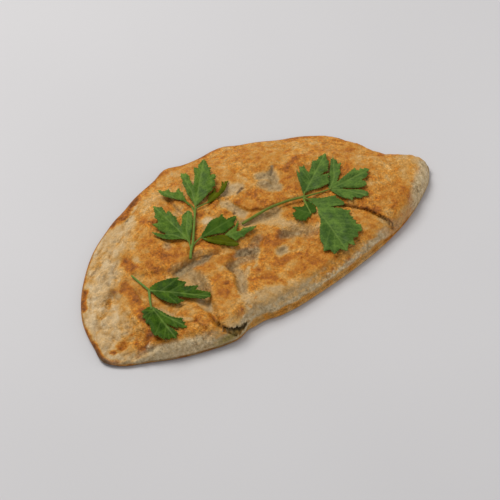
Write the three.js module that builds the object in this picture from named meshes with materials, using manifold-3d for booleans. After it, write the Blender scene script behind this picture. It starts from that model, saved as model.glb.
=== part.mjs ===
// Filled flatbread, folded into a half moon and browned in a pan, with three
// sprigs of flat-leaved parsley lying on it.  Millimetres, +Z up, the flat
// underside on z = 0, the origin under the middle of the bread's outline.
//
//   bread      the dough: one folded skin, open where its fold has torn
//   filling    the green herb filling inside it, which shows at the tear
//   parsley_1  sprig with five leaflets, left of the middle
//   parsley_2  sprig with four leaflets, right of the middle
//   parsley_3  short sprig with two leaflets, near the left end
//
// The straighter side (-Y) is the fold, thick and round; the long curved side
// (+Y and the left end) is the rim, where the two layers are pressed together.
import * as THREE from 'three';
import { mergeVertices } from 'three/addons/utils/BufferGeometryUtils.js';
import Module from 'manifold-3d';

const wasm = await Module();
wasm.setup();

// ------------------------------------------------------------ driving sizes
const POLE = [-0.9, -8];          // point the outline's radii are taken from
// outline: radius at each bearing (degrees, counter-clockwise from +X)
const OUTLINE = [
  [0, 111], [5, 106], [10, 104.4], [15, 101.6], [20, 100.2], [30, 92.9],
  [40, 84.1], [50, 80.1], [60, 77.3], [66, 77.7], [71, 76.3], [80, 73.2],
  [90, 74], [97, 77.9], [106, 76.5], [120, 79.3], [130, 82.5], [135, 85.8],
  [140, 88.8], [150, 96.7], [160, 104.8], [170, 114], [177, 120.2], [186, 125.6],
  [191.5, 128.8], [196, 123.6], [201, 113.7], [210, 100.3], [218, 90.1], [224, 83.9],
  [229.4, 77.6], [231.6, 73.2], [236, 69.2], [240, 66.2], [250, 63.8], [260, 62],
  [275, 61], [290, 63.8], [300, 68], [310, 74.8], [320, 84.6], [330, 98],
  [340, 114.2], [346, 124.6], [350.5, 128.4], [356, 122.4],
];
const CENTRE_SHIFT = [0.7, -0.09];  // brings the box of the bread over the origin
const FOLD_FROM = 193, FOLD_TO = 348;   // bearings between which the fold lies

const BODY = 12.2;                // height of the filled middle
const PAN_PLANE = 14.0;           // browned tops were pressed flat to this
const RIM_EDGE = 3.2;             // pressed rim, top of its edge
const TIP_EDGE = 8.8;             // the right end stays thick
const RIM_WIDEST = 1.7;           // height of the rim's outermost line
const RIM_RAMP = 30;              // from the rim up to the filled middle
const LEFT_RAMP = 46;             // the same at the flat left end
const FOLD_LIP = 3.0;             // browned lip along the foot of the fold
const FOLD_ROUND = 9.5;           // round shoulder above it
const RIM_LIFT = 1.2;             // underside of the rim is off the table

const SKIN = 2.2;                 // dough above the filling
const FLOOR = 2.2;                // dough under it
const SEAL = 13;                  // closed border at the rim
const FOLD_WALL = 3.4;            // dough at the fold
const GAP = 0.3;                  // filling to dough

// the torn slit: points along its mouth, from the top over the shoulder of the
// fold, how far it gapes at each and what share of its depth it has there; it
// runs in under the raised pad's end
const TEAR = [
  [-60.6, -55.8, 11.8, 0.5, 0.3], [-58.6, -59.2, 10.6, 1.5, 0.45], [-55.9, -61.8, 9.3, 3.0, 0.8],
  [-52.6, -63.6, 8.2, 3.5, 1.0], [-49.2, -65.0, 7.2, 2.6, 1.0], [-46.6, -65.9, 6.5, 0.8, 0.6],
];
const TEAR_INWARD = [0.67, 0.742], TEAR_DEPTH = 8.5;

const LEAF_THICK = 0.8, STEM_RADIUS = 0.85, LEAF_CLEAR = 0.5;

// raised, browned pads: a path, its half width, and how far it stands up
const PADS = [
  { path: [[-29, -19.5], [-40, -22]], half: 5, rise: 2.4 },
  { path: [[-40, -22], [-43, -36], [-47, -47], [-51.5, -56.5]], half: 8.2, rise: 2.6 },
  { path: [[7, 9], [18, 11], [27, 1]], half: 7.5, rise: 2.2 },
  { path: [[-17, -42], [0, -47], [18, -44]], half: 11, rise: 2.2 },
  { path: [[2, -26], [7, -25]], half: 6, rise: 1.8 },
  { path: [[-72, 2], [-50, 0]], half: 5.5, rise: 2.0 },
  { path: [[-66, 9], [-54, 13]], half: 8, rise: 2.0 },
  { path: [[-68, -38], [-66, -50]], half: 6, rise: 1.8 },
  { path: [[-95, -18], [-93, -34]], half: 7, rise: 1.6 },
  { path: [[-34, -3], [-25, -8]], half: 3.6, rise: 1.4 },
  { path: [[55, 4], [84, -26]], half: 24, rise: 1.9 },
];
// valleys and creases: a path, its half width, and its depth
const FURROWS = [
  { path: [[-59, -9.5], [-50, -8], [-42, -6.5], [-35, -8.5], [-28, -12]], half: 2.6, depth: 2.8 },
  { path: [[-54, -13], [-49.5, -20], [-50.5, -27], [-55, -36], [-58, -46]], half: 4.2, depth: 2.4 },
  { path: [[-27, -24], [-19, -24.5], [-11, -22], [-2, -17]], half: 4.2, depth: 3.8 },
  { path: [[-27.5, -26], [-27, -32], [-30, -39], [-32.5, -44.5]], half: 3.4, depth: 3.0 },
  { path: [[14, -26], [22, -26], [26, -33]], half: 5, depth: 2.4 },
  { path: [[3.5, -34]], half: 3.6, depth: 1.8 },
  { path: [[-0.5, 19], [0.5, 9], [2, 3]], half: 3.2, depth: 1.8 },
  { path: [[5, 24.5], [12, 22], [16, 20.5]], half: 3.4, depth: 2.0 },
  { path: [[29, 14], [33, 10], [38, 20]], half: 4.6, depth: 2.3 },
  { path: [[2, -4], [12, -7], [21, -9], [23, -15]], half: 3.6, depth: 1.4 },
  { path: [[-96, 0], [-98, 3]], half: 4.5, depth: 1.2 },
];
// the crack from the middle of the right part out to the fold
const CRACK = {
  path: [[57, -28], [63, -36], [69, -43], [71, -51], [71.5, -57.5], [69.5, -66]],
  width: 1.5, depth: 2.1,
};

// sprigs: the stem's path, then leaflets from their base to their lobes' tips
// (tip x, tip y, breadth of that lobe); rise is how far the tips stand higher
const SPRIGS = {
  parsley_1: {
    colour: 0x567333,
    stem: [[-45.5, -7.3], [-40, 0], [-33, 8.3], [-28.3, 13], [-20.8, 22.3]], lift: 2.2,
    leaves: [
      { from: [-41.5, -2], base: [-38.9, 3.4], rise: 3, lobes: [[-54.8, 20.6, 7], [-42.3, 37.6, 12], [-26.3, 22.1, 8]] },
      { from: [-20.8, 22.3], base: [-22.8, 24.3], rise: 2, lobes: [[-32.3, 45.5, 6.5], [-27.3, 43, 5], [-21.1, 40.5, 5.5]] },
      { from: [-20.8, 22.3], base: [-20.3, 23.3], rise: 2, lobes: [[-12.3, 48.5, 9], [5.7, 50, 13], [3.7, 34, 10]] },
      { from: [-23, 19.6], base: [-15.4, 21.8], rise: 1, lobes: [[-0.4, 28.6, 6], [8.9, 28.8, 5.5]] },
      { from: [-40, -0], base: [-33, 1.3], rise: 1, lobes: [[-4, 2.3, 11], [-9.5, -6.7, 8], [2, -12.5, 6.5], [-18.3, -17.5, 10]] },
    ],
  },
  parsley_2: {
    colour: 0x507038,
    stem: [[-1.5, -2.9], [11, -2.9], [28.5, -6.5], [38.7, -11]], lift: 1.2,
    leaves: [
      { from: [38.7, -11], base: [39.7, -10], rise: 3, lobes: [[52, 9.6, 14], [70.5, 8.3, 14], [73.5, -1.7, 12]] },
      { from: [38.7, -11], base: [55.1, -15.2], rise: 1, lobes: [[86, -18, 13], [76, -27.5, 10], [71.5, -35, 11], [61, -32, 7]] },
      { from: [38.7, -11], base: [39.7, -13], rise: 1.5, lobes: [[56.7, -30.7, 12], [54.7, -37.7, 9], [52.2, -50.7, 13], [38.2, -56, 13], [25, -51, 12]] },
      { from: [38.7, -11], base: [38.1, -17.6], rise: 0, lobes: [[28.6, -13.6, 6], [24.1, -20.6, 7], [28.1, -26.6, 6.5]] },
    ],
  },
  parsley_3: {
    colour: 0x3f5a22,
    stem: [[-82.3, 3.3], [-81.8, -2], [-81.3, -8.4], [-80.9, -14.1]], lift: 1.2,
    leaves: [
      { from: [-81.3, -10.5], base: [-79.9, -15.1], rise: 1.5, lobes: [[-60.8, -19.2, 12], [-53.8, -38.2, 10], [-70.8, -34.2, 10]] },
      { from: [-80.9, -14.1], base: [-87, -24.7], rise: 1, lobes: [[-94, -30.4, 7], [-90.5, -52.9, 13], [-79.5, -49.9, 9]] },
    ],
  },
};

// mesh fineness
const NU = 44, NV = 28;            // cells across the bread's top
const CU = 22, CV = 13;            // cells across the cavity and the filling

// ------------------------------------------------------------------ helpers
const rad = Math.PI / 180;
const clamp = (x, a = 0, b = 1) => Math.min(b, Math.max(a, x));
const mix = (a, b, t) => a + (b - a) * t;
const smooth = (a, b, x) => { const t = clamp((x - a) / (b - a)); return t * t * (3 - 2 * t); };

/** radius of the outline at a bearing, a smooth curve through OUTLINE */
function radius(deg) {
  const n = OUTLINE.length;
  const t = ((deg % 360) + 360) % 360;
  let i = n - 1;
  while (OUTLINE[i][0] > t) i--;
  const at = (k) => {
    const turn = Math.floor(k / n);
    const [a, r] = OUTLINE[((k % n) + n) % n];
    return [a + 360 * turn, r];
  };
  const [x0, y0] = at(i - 1), [x1, y1] = at(i), [x2, y2] = at(i + 1), [x3, y3] = at(i + 2);
  const h = x2 - x1, u = (t - x1) / h;
  const m1 = ((y2 - y1) / h * (x1 - x0) + (y1 - y0) / (x1 - x0) * h) / (x2 - x0);
  const m2 = ((y3 - y2) / (x3 - x2) * h + (y2 - y1) / h * (x3 - x2)) / (x3 - x1);
  const u2 = u * u, u3 = u2 * u;
  return (2 * u3 - 3 * u2 + 1) * y1 + (u3 - 2 * u2 + u) * h * m1
    + (-2 * u3 + 3 * u2) * y2 + (u3 - u2) * h * m2;
}
const outlinePoint = (deg) => {
  const r = radius(deg);
  return [POLE[0] + r * Math.cos(deg * rad), POLE[1] + r * Math.sin(deg * rad)];
};

/** distance from a point to a polyline */
function distance(path, x, y) {
  let best = Infinity;
  if (path.length === 1) return Math.hypot(x - path[0][0], y - path[0][1]);
  for (let i = 0; i + 1 < path.length; i++) {
    const [ax, ay] = path[i], [bx, by] = path[i + 1];
    const ux = bx - ax, uy = by - ay;
    const t = clamp(((x - ax) * ux + (y - ay) * uy) / (ux * ux + uy * uy));
    best = Math.min(best, Math.hypot(x - ax - t * ux, y - ay - t * uy));
  }
  return best;
}

const rimLine = [], foldLine = [];
for (let a = FOLD_TO - 360; a < FOLD_FROM - 0.1; a += 2.5) rimLine.push(outlinePoint(a));
rimLine.push(outlinePoint(FOLD_FROM));
for (let a = FOLD_FROM; a <= FOLD_TO; a += 2.5) foldLine.push(outlinePoint(a));

// --------------------------------------------------------- the bread's shape
/** height of the bread away from its edges, with its pads and valleys */
function middle(x, y) {
  let h = BODY;
  for (const p of PADS) h += p.rise * (1 - smooth(p.half - 3.2, p.half + 3.2, distance(p.path, x, y)));
  for (const f of FURROWS) h -= f.depth * Math.exp(-((distance(f.path, x, y) / f.half) ** 2));
  h += 0.35 * Math.sin(x / 9 + 1.3 * Math.sin(y / 14)) * Math.sin(y / 8.5);
  const over = h - PAN_PLANE;      // soft limit at the pan plane
  return over > -1 ? PAN_PLANE - 1 + Math.tanh(over + 1) : h;
}
/** 1 at the thick right tip, 0 elsewhere */
const tipness = (x) => smooth(82, 112, x);
const round = (u) => { const t = 1 - clamp(u); return Math.sqrt(Math.max(0, 1 - t * t)); };

/** top surface of the bread, for a body of the given height */
function topHeight(x, y, body = middle(x, y)) {
  const toRim = distance(rimLine, x, y), toFold = distance(foldLine, x, y);
  const tip = tipness(x);
  const edge = mix(RIM_EDGE, TIP_EDGE, tip);
  const ramp = mix(mix(RIM_RAMP, LEFT_RAMP, smooth(-45, -95, x)), 16, tip);
  const widest = mix(RIM_WIDEST, FOLD_LIP, tip);
  let h = edge + (body - edge) * Math.sin(clamp(toRim / ramp) * Math.PI / 2) ** 1.25;
  h = widest + (h - widest) * round(toRim / mix(1.6, 5, tip));
  h = FOLD_LIP + (h - FOLD_LIP) * round((toFold - 1.2) / FOLD_ROUND) * smooth(0, 1.2, toFold);
  return Math.max(h, 1.2);
}
/** the highest dough round a point, which whatever lies on the bread clears */
function ceiling(x, y) {
  let h = topHeight(x, y);
  for (let k = 0; k < 6; k++) h = Math.max(h, topHeight(x + 2.6 * Math.cos(k * 60 * rad), y + 2.6 * Math.sin(k * 60 * rad)));
  return h;
}
/** underside: flat, lifted a little under the edges */
function underHeight(x, y) {
  const toRim = distance(rimLine, x, y), toFold = distance(foldLine, x, y);
  const a = RIM_LIFT * (1 - smooth(0, 9, toRim)), b = 0.5 * (1 - smooth(0, 4, toFold));
  return Math.max(a, b);
}

/** a disc of cells, (i, j) to the plan position, out to a share of the radius */
function disc(nu, nv, limit) {
  const at = (i, j) => {
    const u = 2 * i / nu - 1, v = 2 * j / nv - 1;
    const a = u * Math.sqrt(1 - v * v / 2), b = v * Math.sqrt(1 - u * u / 2);
    const deg = Math.atan2(b, a) / rad;
    const r = Math.hypot(a, b) * limit(deg);
    return [POLE[0] + r * Math.cos(deg * rad), POLE[1] + r * Math.sin(deg * rad), deg];
  };
  const points = [], index = [];
  for (let j = 0; j <= nv; j++) for (let i = 0; i <= nu; i++) points.push(at(i, j));
  const id = (i, j) => j * (nu + 1) + i;
  for (let j = 0; j < nv; j++) for (let i = 0; i < nu; i++) {
    const a = id(i, j), b = id(i + 1, j), c = id(i + 1, j + 1), d = id(i, j + 1);
    // cells are split away from the four corners of the grid
    if ((i < nu / 2) === (j < nv / 2)) index.push([a, b, d], [b, c, d]); else index.push([a, b, c], [a, c, d]);
  }
  const border = [];
  for (let i = 0; i < nu; i++) border.push(id(i, 0));
  for (let j = 0; j < nv; j++) border.push(id(nu, j));
  for (let i = nu; i > 0; i--) border.push(id(i, nv));
  for (let j = nv; j > 0; j--) border.push(id(0, j));
  return { points, index, border };
}
/** how much shorter a step along the radius is than one square to the edge */
function slant(deg) {
  const [ax, ay] = outlinePoint(deg - 1), [bx, by] = outlinePoint(deg + 1);
  const l = Math.hypot(bx - ax, by - ay);
  return Math.max(0.45, ((by - ay) * Math.cos(deg * rad) - (bx - ax) * Math.sin(deg * rad)) / l);
}

/** position-only geometry from lists */
function solid(vertices, faces) {
  const g = new THREE.BufferGeometry();
  g.setAttribute('position', new THREE.Float32BufferAttribute(vertices.flat(), 3));
  g.setIndex(faces.flat());
  return g;
}

function breadOuter() {
  // steps inward from the outline, millimetres square to it, top side
  const steps = [0, 0.5, 1.6, 4, 8];
  const limit = (s) => (deg) => radius(deg) - s / slant(deg);
  const { points, index, border } = disc(NU, NV, limit(steps[steps.length - 1]));
  const vertices = points.map(([x, y]) => [x, y, topHeight(x, y)]);
  const faces = index.slice();
  const n = border.length;
  const ring = (s, z) => border.map((k) => {
    const deg = points[k][2], r = limit(s)(deg);
    const x = POLE[0] + r * Math.cos(deg * rad), y = POLE[1] + r * Math.sin(deg * rad);
    vertices.push([x, y, z(x, y, deg)]);
    return vertices.length - 1;
  });
  const join = (inner, outer) => {
    for (let k = 0; k < n; k++) {
      const m = (k + 1) % n;
      faces.push([inner[k], outer[k], outer[m]], [inner[k], outer[m], inner[m]]);
    }
  };
  let last = border;
  for (let s = steps.length - 2; s >= 1; s--) {
    const next = ring(steps[s], (x, y) => topHeight(x, y));
    join(last, next); last = next;
  }
  const widest = ring(0, (x) => mix(RIM_WIDEST, FOLD_LIP * 0.55, tipness(x)) + 0.1);
  join(last, widest);
  const lower = ring(1.1, (x, y) => underHeight(x, y));
  join(widest, lower);
  const foot = ring(9, () => 0);
  join(lower, foot);
  const flat = foot.map((k) => new THREE.Vector2(vertices[k][0], vertices[k][1]));
  for (const [a, b, c] of THREE.ShapeUtils.triangulateShape(flat, [])) faces.push([foot[a], foot[c], foot[b]]);
  return solid(vertices, faces);
}

/** room for the filling, or the filling itself when inset by a gap */
function inner(gap) {
  const inset = (deg) => {
    const [x] = outlinePoint(deg);
    const fold = smooth(FOLD_FROM - 6, FOLD_FROM + 10, (deg + 360) % 360) * (1 - smooth(FOLD_TO - 8, FOLD_TO + 2, (deg + 360) % 360));
    return mix(mix(SEAL, 7, tipness(x)), FOLD_WALL, fold) + gap;
  };
  const { points, index, border } = disc(CU, CV, (deg) => radius(deg) - inset(deg) / slant(deg));
  const vertices = [], faces = [];
  const low = points.map(([x, y]) => { vertices.push([x, y, FLOOR + gap]); return vertices.length - 1; });
  const high = points.map(([x, y]) => {
    let lowest = Infinity;             // the roof stays under every valley close by
    for (const r of [0, 4, 8, 11]) for (let k = 0; k < 12; k++) {
      lowest = Math.min(lowest, middle(x + r * Math.cos(k * Math.PI / 6), y + r * Math.sin(k * Math.PI / 6)));
    }
    vertices.push([x, y, Math.max(topHeight(x, y, lowest) - SKIN, FLOOR + 1.2) - 2 * gap]);
    return vertices.length - 1;
  });
  for (const [a, b, c] of index) faces.push([high[a], high[b], high[c]], [low[a], low[c], low[b]]);
  for (let k = 0; k < border.length; k++) {
    const a = border[k], b = border[(k + 1) % border.length];
    faces.push([low[a], low[b], high[b]], [low[a], high[b], high[a]]);
  }
  return solid(vertices, faces);
}

/** a wedge that follows the tear, narrowing in under the dough; the filling's
 *  share of it starts at a depth and is smaller all round */
function tearWedge(shrink, start) {
  const vertices = [], faces = [];
  const [nx, ny] = TEAR_INWARD;
  const last = TEAR.length - 1;
  TEAR.forEach(([x, y, z, gape, share], i) => {
    if (shrink && (i < 2 || i === last)) return;
    const section = (depth) => {
      const t = (depth + 4) / (TEAR_DEPTH + 4);
      const half = Math.max(gape / 2 * (1 - 0.65 * t) - shrink, 0.08);
      return [[x + nx * depth, y + ny * depth, z - t + half], [x + nx * depth, y + ny * depth, z - t - half]];
    };
    const [op, om] = section(start), [ip, im] = section(TEAR_DEPTH * share - shrink);
    vertices.push(op, om, im, ip);
    if (vertices.length > 4) {
      const b = vertices.length - 4, a = b - 4;
      for (const [p, q] of [[0, 1], [1, 2], [2, 3], [3, 0]]) faces.push([a + p, a + q, b + q], [a + p, b + q, b + p]);
    }
  });
  const e = vertices.length - 4;
  faces.push([0, 3, 2], [0, 2, 1], [e, e + 1, e + 2], [e, e + 2, e + 3]);
  return solid(vertices, faces);
}

/** a narrow wedge that follows the crack, its edge down in the dough */
function crackWedge() {
  const { width, depth } = CRACK;
  const vertices = [], faces = [];
  const path = CRACK.path.flatMap(([x, y], i) => i
    ? [[(x + CRACK.path[i - 1][0]) / 2, (y + CRACK.path[i - 1][1]) / 2], [x, y]] : [[x, y]]);
  path.forEach(([x, y], i) => {
    const [px, py] = path[Math.max(0, i - 1)], [qx, qy] = path[Math.min(path.length - 1, i + 1)];
    const l = Math.hypot(qx - px, qy - py), nx = -(qy - py) / l, ny = (qx - px) / l;
    const w = Math.min(1, 0.35 + 0.3 * i, 0.4 + 0.15 * (path.length - 1 - i));
    const z = topHeight(x, y) - depth * w, open = width * w * 1.3;
    vertices.push([x, y, z], [x + nx * open, y + ny * open, z + depth * w * 2.4], [x - nx * open, y - ny * open, z + depth * w * 2.4]);
    if (i) {
      const a = 3 * (i - 1), b = 3 * i;
      for (const [p, q] of [[0, 1], [1, 2], [2, 0]]) faces.push([a + p, b + q, b + p], [a + p, a + q, b + q]);
    }
  });
  const e = vertices.length - 3;
  faces.push([0, 2, 1], [e, e + 1, e + 2]);
  return solid(vertices, faces);
}

// ------------------------------------------------------------------ parsley
/** a leaflet: one outline with a pointed lobe towards each tip, laid on a plane */
function leaflet({ base, lobes, rise }) {
  const tips = lobes.map(([x, y, w]) => {
    const l = Math.hypot(x - base[0], y - base[1]);
    return { bearing: Math.atan2(y - base[1], x - base[0]), length: l, spread: Math.atan2(w / 2, l * 0.55) };
  });
  const mean = new THREE.Vector2();
  for (const t of tips) mean.add(new THREE.Vector2(Math.cos(t.bearing), Math.sin(t.bearing)));
  const facing = mean.angle();
  const reach = (a) => {
    let best = 0;
    for (const t of tips) {
      const d = Math.abs(Math.atan2(Math.sin(a - t.bearing), Math.cos(a - t.bearing))) / t.spread;
      if (d < 1.9) best = Math.max(best, t.length * (d < 1 ? 1 - 0.45 * d ** 0.8 : 0.55 * (1.9 - d) / 0.9));
    }
    return best;
  };
  // bearings that matter: the tips, the flanks of each lobe, even steps between
  const bearings = [];
  for (const t of tips) for (const k of [-1.5, -1, -0.5, 0, 0.5, 1, 1.5]) {
    bearings.push(Math.atan2(Math.sin(t.bearing + k * t.spread - facing), Math.cos(t.bearing + k * t.spread - facing)));
  }
  bearings.sort((a, b) => a - b);
  const outline = [];
  const back = 1.1;                   // the base is this wide round its point
  let previous = -Infinity;
  for (const a of bearings) {
    if (a - previous < 0.07) continue;
    previous = a;
    const r = Math.max(back, reach(a + facing));
    outline.push([base[0] + r * Math.cos(a + facing), base[1] + r * Math.sin(a + facing)]);
  }
  for (const k of [0.75, 1, 1.25]) outline.push([base[0] + back * Math.cos(facing + Math.PI * k), base[1] + back * Math.sin(facing + Math.PI * k)]);
  // a plane that rises from the base to the tips and clears the bread
  const far = Math.max(...tips.map((t) => t.length));
  const tilt = (x, y) => rise * ((x - base[0]) * Math.cos(facing) + (y - base[1]) * Math.sin(facing)) / far;
  let foot = -Infinity;
  const probe = [base, ...outline];
  for (const [x, y] of outline) for (const k of [0.35, 0.7]) probe.push([mix(base[0], x, k), mix(base[1], y, k)]);
  for (const [x, y] of probe) foot = Math.max(foot, ceiling(x, y) + LEAF_CLEAR - tilt(x, y));
  const shape = new THREE.Shape(outline.map(([x, y]) => new THREE.Vector2(x, y)));
  const g = new THREE.ExtrudeGeometry(shape, { depth: LEAF_THICK, bevelEnabled: false });
  const p = g.attributes.position;
  for (let k = 0; k < p.count; k++) p.setZ(k, p.getZ(k) + foot + tilt(p.getX(k), p.getY(k)));
  return { geometry: g, height: foot };
}
/** a round stalk along points, as an extruded section */
function stalk(points, r) {
  const section = new THREE.Shape();
  for (let k = 0; k < 6; k++) {
    const x = r * Math.cos(k * Math.PI / 3), y = r * Math.sin(k * Math.PI / 3);
    if (k) section.lineTo(x, y); else section.moveTo(x, y);
  }
  const curve = new THREE.CatmullRomCurve3(points.map((q) => new THREE.Vector3(...q)));
  return new THREE.ExtrudeGeometry(section, { steps: Math.max(2, points.length * 2 - 2), bevelEnabled: false, extrudePath: curve });
}

// ---------------------------------------------------------- booleans, meshes
function toSolid(geometry) {
  const g = geometry.clone();
  g.deleteAttribute('normal'); g.deleteAttribute('uv');
  const m = mergeVertices(g, 1e-4);
  return new wasm.Manifold(new wasm.Mesh({
    numProp: 3,
    vertProperties: new Float32Array(m.attributes.position.array),
    triVerts: new Uint32Array(m.index.array),
  }));
}
function toGeometry(manifold) {
  const mesh = manifold.getMesh();
  const g = new THREE.BufferGeometry();
  g.setAttribute('position', new THREE.BufferAttribute(new Float32Array(mesh.vertProperties), 3));
  g.setIndex(new THREE.BufferAttribute(new Uint32Array(mesh.triVerts), 1));
  g.computeVertexNormals();
  return g;
}
const object = new THREE.Group();
object.position.set(CENTRE_SHIFT[0], CENTRE_SHIFT[1], 0);
function add(name, geometry, colour, roughness) {
  const mesh = new THREE.Mesh(geometry, new THREE.MeshStandardMaterial({ color: colour, roughness, metalness: 0 }));
  mesh.name = name;
  object.add(mesh);
}

const dough = toSolid(breadOuter())
  .subtract(toSolid(inner(0)))
  .subtract(toSolid(tearWedge(0, -4)))
  .subtract(toSolid(crackWedge()));
add('bread', toGeometry(dough), 0xb98a50, 0.72);

const stuffing = toSolid(inner(GAP)).add(toSolid(tearWedge(GAP, 2.6)));
add('filling', toGeometry(stuffing), 0x4a4a1c, 0.6);

for (const [name, sprig] of Object.entries(SPRIGS)) {
  const at = ([x, y]) => [x, y, ceiling(x, y) + STEM_RADIUS + LEAF_CLEAR];
  const path = sprig.stem.map(([x, y], k) => {
    const q = at([x, y]);
    return [q[0], q[1], q[2] + sprig.lift * k / (sprig.stem.length - 1)];
  });
  // the stem clears every rise it passes over
  for (let k = 1; k < path.length; k++) {
    for (const t of [0.25, 0.5, 0.75]) {
      const x = mix(path[k - 1][0], path[k][0], t), y = mix(path[k - 1][1], path[k][1], t);
      const short = ceiling(x, y) + STEM_RADIUS + LEAF_CLEAR - mix(path[k - 1][2], path[k][2], t);
      if (short > 0) { path[k][2] += short; path[k - 1][2] += short; }
    }
  }
  let whole = toSolid(stalk(path, STEM_RADIUS));
  for (const leaf of sprig.leaves) {
    const { geometry, height } = leaflet(leaf);
    whole = whole.add(toSolid(geometry));
    // its own short stalk, from the nearest point of the stem to its base
    let start = path[0], near = Infinity;
    for (let k = 1; k < path.length; k++) for (let t = 0; t <= 1; t += 0.1) {
      const q = [0, 1, 2].map((c) => mix(path[k - 1][c], path[k][c], t));
      const d = Math.hypot(q[0] - leaf.from[0], q[1] - leaf.from[1]);
      if (d < near) { near = d; start = q; }
    }
    const end = [leaf.base[0], leaf.base[1], height + LEAF_THICK / 2];
    const toward = [end[0] - start[0], end[1] - start[1]];
    const l = Math.hypot(...toward) || 1;
    end[0] += toward[0] / l * 0.5; end[1] += toward[1] / l * 0.5;
    const half = [0, 1, 2].map((c) => mix(start[c], end[c], 0.5));
    half[2] = Math.max(half[2], ceiling(half[0], half[1]) + STEM_RADIUS + LEAF_CLEAR);
    whole = whole.add(toSolid(stalk([start, half, end], STEM_RADIUS * 0.85)));
  }
  add(name, toGeometry(whole), sprig.colour, 0.55);
}

export default object;
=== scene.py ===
"""Looks of a filled flatbread folded into a half moon and browned in a pan, with
three sprigs of flat-leaved parsley on it.  Lengths are worked out in millimetres
and brought to metres where the meshes are made."""

import bpy
import math
import numpy as np
from mathutils import Matrix, Vector
from mathutils.geometry import delaunay_2d_cdt
from mathutils.kdtree import KDTree


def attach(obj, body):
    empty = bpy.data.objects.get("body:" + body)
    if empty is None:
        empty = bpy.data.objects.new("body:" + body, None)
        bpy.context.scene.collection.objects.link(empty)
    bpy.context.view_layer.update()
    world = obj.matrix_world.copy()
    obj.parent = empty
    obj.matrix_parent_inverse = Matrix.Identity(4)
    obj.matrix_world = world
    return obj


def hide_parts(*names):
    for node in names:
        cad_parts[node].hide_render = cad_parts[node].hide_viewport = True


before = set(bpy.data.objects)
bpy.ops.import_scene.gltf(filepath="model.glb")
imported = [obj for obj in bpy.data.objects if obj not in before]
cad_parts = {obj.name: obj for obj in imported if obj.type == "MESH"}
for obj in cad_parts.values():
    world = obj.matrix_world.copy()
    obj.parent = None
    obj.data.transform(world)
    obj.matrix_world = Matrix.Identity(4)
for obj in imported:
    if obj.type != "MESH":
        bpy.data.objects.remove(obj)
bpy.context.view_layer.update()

MM = 0.001
CENTRE_SHIFT = np.array([0.7, -0.09, 0.0])    # brings the bread's box over the origin

# ------------------------------------------------------------------ camera
ELEVATION, AZIMUTH, AWAY = 50.0, -36.7, 1150.0
_a, _e = math.radians(AZIMUTH), math.radians(ELEVATION)
BACK = np.array([math.sin(_a) * math.cos(_e), -math.cos(_a) * math.cos(_e), math.sin(_e)])
RIGHT = np.array([math.cos(_a), math.sin(_a), 0.0])
UP = np.cross(BACK, RIGHT)
EYE = BACK * AWAY
PLANE = 11.0                                # features are placed as they look at this height

# ------------------------------------------------------------ driving sizes
POLE = (-0.9, -8.0)
OUTLINE = [
    (0, 111), (5, 106), (10, 104.4), (15, 101.6), (20, 100.2), (30, 92.9),
    (40, 84.1), (50, 80.1), (60, 77.3), (66, 77.7), (71, 76.3), (80, 73.2),
    (90, 74), (97, 77.9), (106, 76.5), (120, 79.3), (130, 82.5), (135, 85.8),
    (140, 88.8), (150, 96.7), (160, 104.8), (170, 114), (177, 120.2), (186, 125.6),
    (191.5, 128.8), (196, 123.6), (201, 113.7), (210, 100.3), (218, 90.1), (224, 83.9),
    (229.4, 77.6), (231.6, 73.2), (236, 69.2), (240, 66.2), (250, 63.8), (260, 62),
    (275, 61), (290, 63.8), (300, 68), (310, 74.8), (320, 84.6), (330, 98),
    (340, 114.2), (346, 124.6), (350.5, 128.4), (356, 122.4),
]
FOLD_FROM, FOLD_TO = 193.0, 348.0
BODY, PAN_PLANE = 11.9, 14.0
RIM_EDGE, TIP_EDGE, RIM_WIDEST = 3.2, 8.8, 1.7
RIM_RAMP, LEFT_RAMP = 30.0, 46.0
FOLD_LIP, FOLD_ROUND, RIM_LIFT = 3.0, 9.5, 1.2
SKIN, FLOOR, SEAL, FOLD_WALL, GAP = 2.2, 2.2, 13.0, 3.4, 0.3
# the tear's mouth: plan position, height, how far it gapes and how deep it runs in
TEAR = [
    (-58.6, -59.2, 10.6, 2.0, 0.45), (-55.9, -61.8, 9.3, 4.05, 0.8), (-52.6, -63.6, 8.2, 4.7, 1.0),
    (-49.2, -65.0, 7.2, 3.5, 1.0), (-46.6, -65.9, 6.5, 1.1, 0.6),
]
TEAR_INWARD, TEAR_DEPTH = (0.67, 0.742), 8.5
FLARE = 0.8
ROOF_REACH, ROOF_SKIN = 4.2, 1.5


# ------------------------------------------------------------------ helpers
def smooth(a, b, x):
    t = np.clip((np.asarray(x, float) - a) / (b - a), 0, 1)
    return t * t * (3 - 2 * t)


def mix(a, b, t):
    return a + (b - a) * t


def _radius_table():
    n = len(OUTLINE)

    def at(k):
        return OUTLINE[k % n][0] + 360 * (k // n), OUTLINE[k % n][1]

    degs, out = np.arange(0, 360, 0.25), []
    for t in degs:
        i = max(k for k in range(n) if OUTLINE[k][0] <= t)
        (x0, y0), (x1, y1), (x2, y2), (x3, y3) = (at(i + k) for k in (-1, 0, 1, 2))
        h = x2 - x1
        u = (t - x1) / h
        m1 = ((y2 - y1) / h * (x1 - x0) + (y1 - y0) / (x1 - x0) * h) / (x2 - x0)
        m2 = ((y3 - y2) / (x3 - x2) * h + (y2 - y1) / h * (x3 - x2)) / (x3 - x1)
        out.append((2 * u**3 - 3 * u**2 + 1) * y1 + (u**3 - 2 * u**2 + u) * h * m1
                   + (-2 * u**3 + 3 * u**2) * y2 + (u**3 - u**2) * h * m2)
    return degs, np.array(out)


_DEGS, _RADII = _radius_table()


def radius(deg):
    return np.interp(np.asarray(deg, float) % 360, _DEGS, _RADII, period=360)


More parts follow.
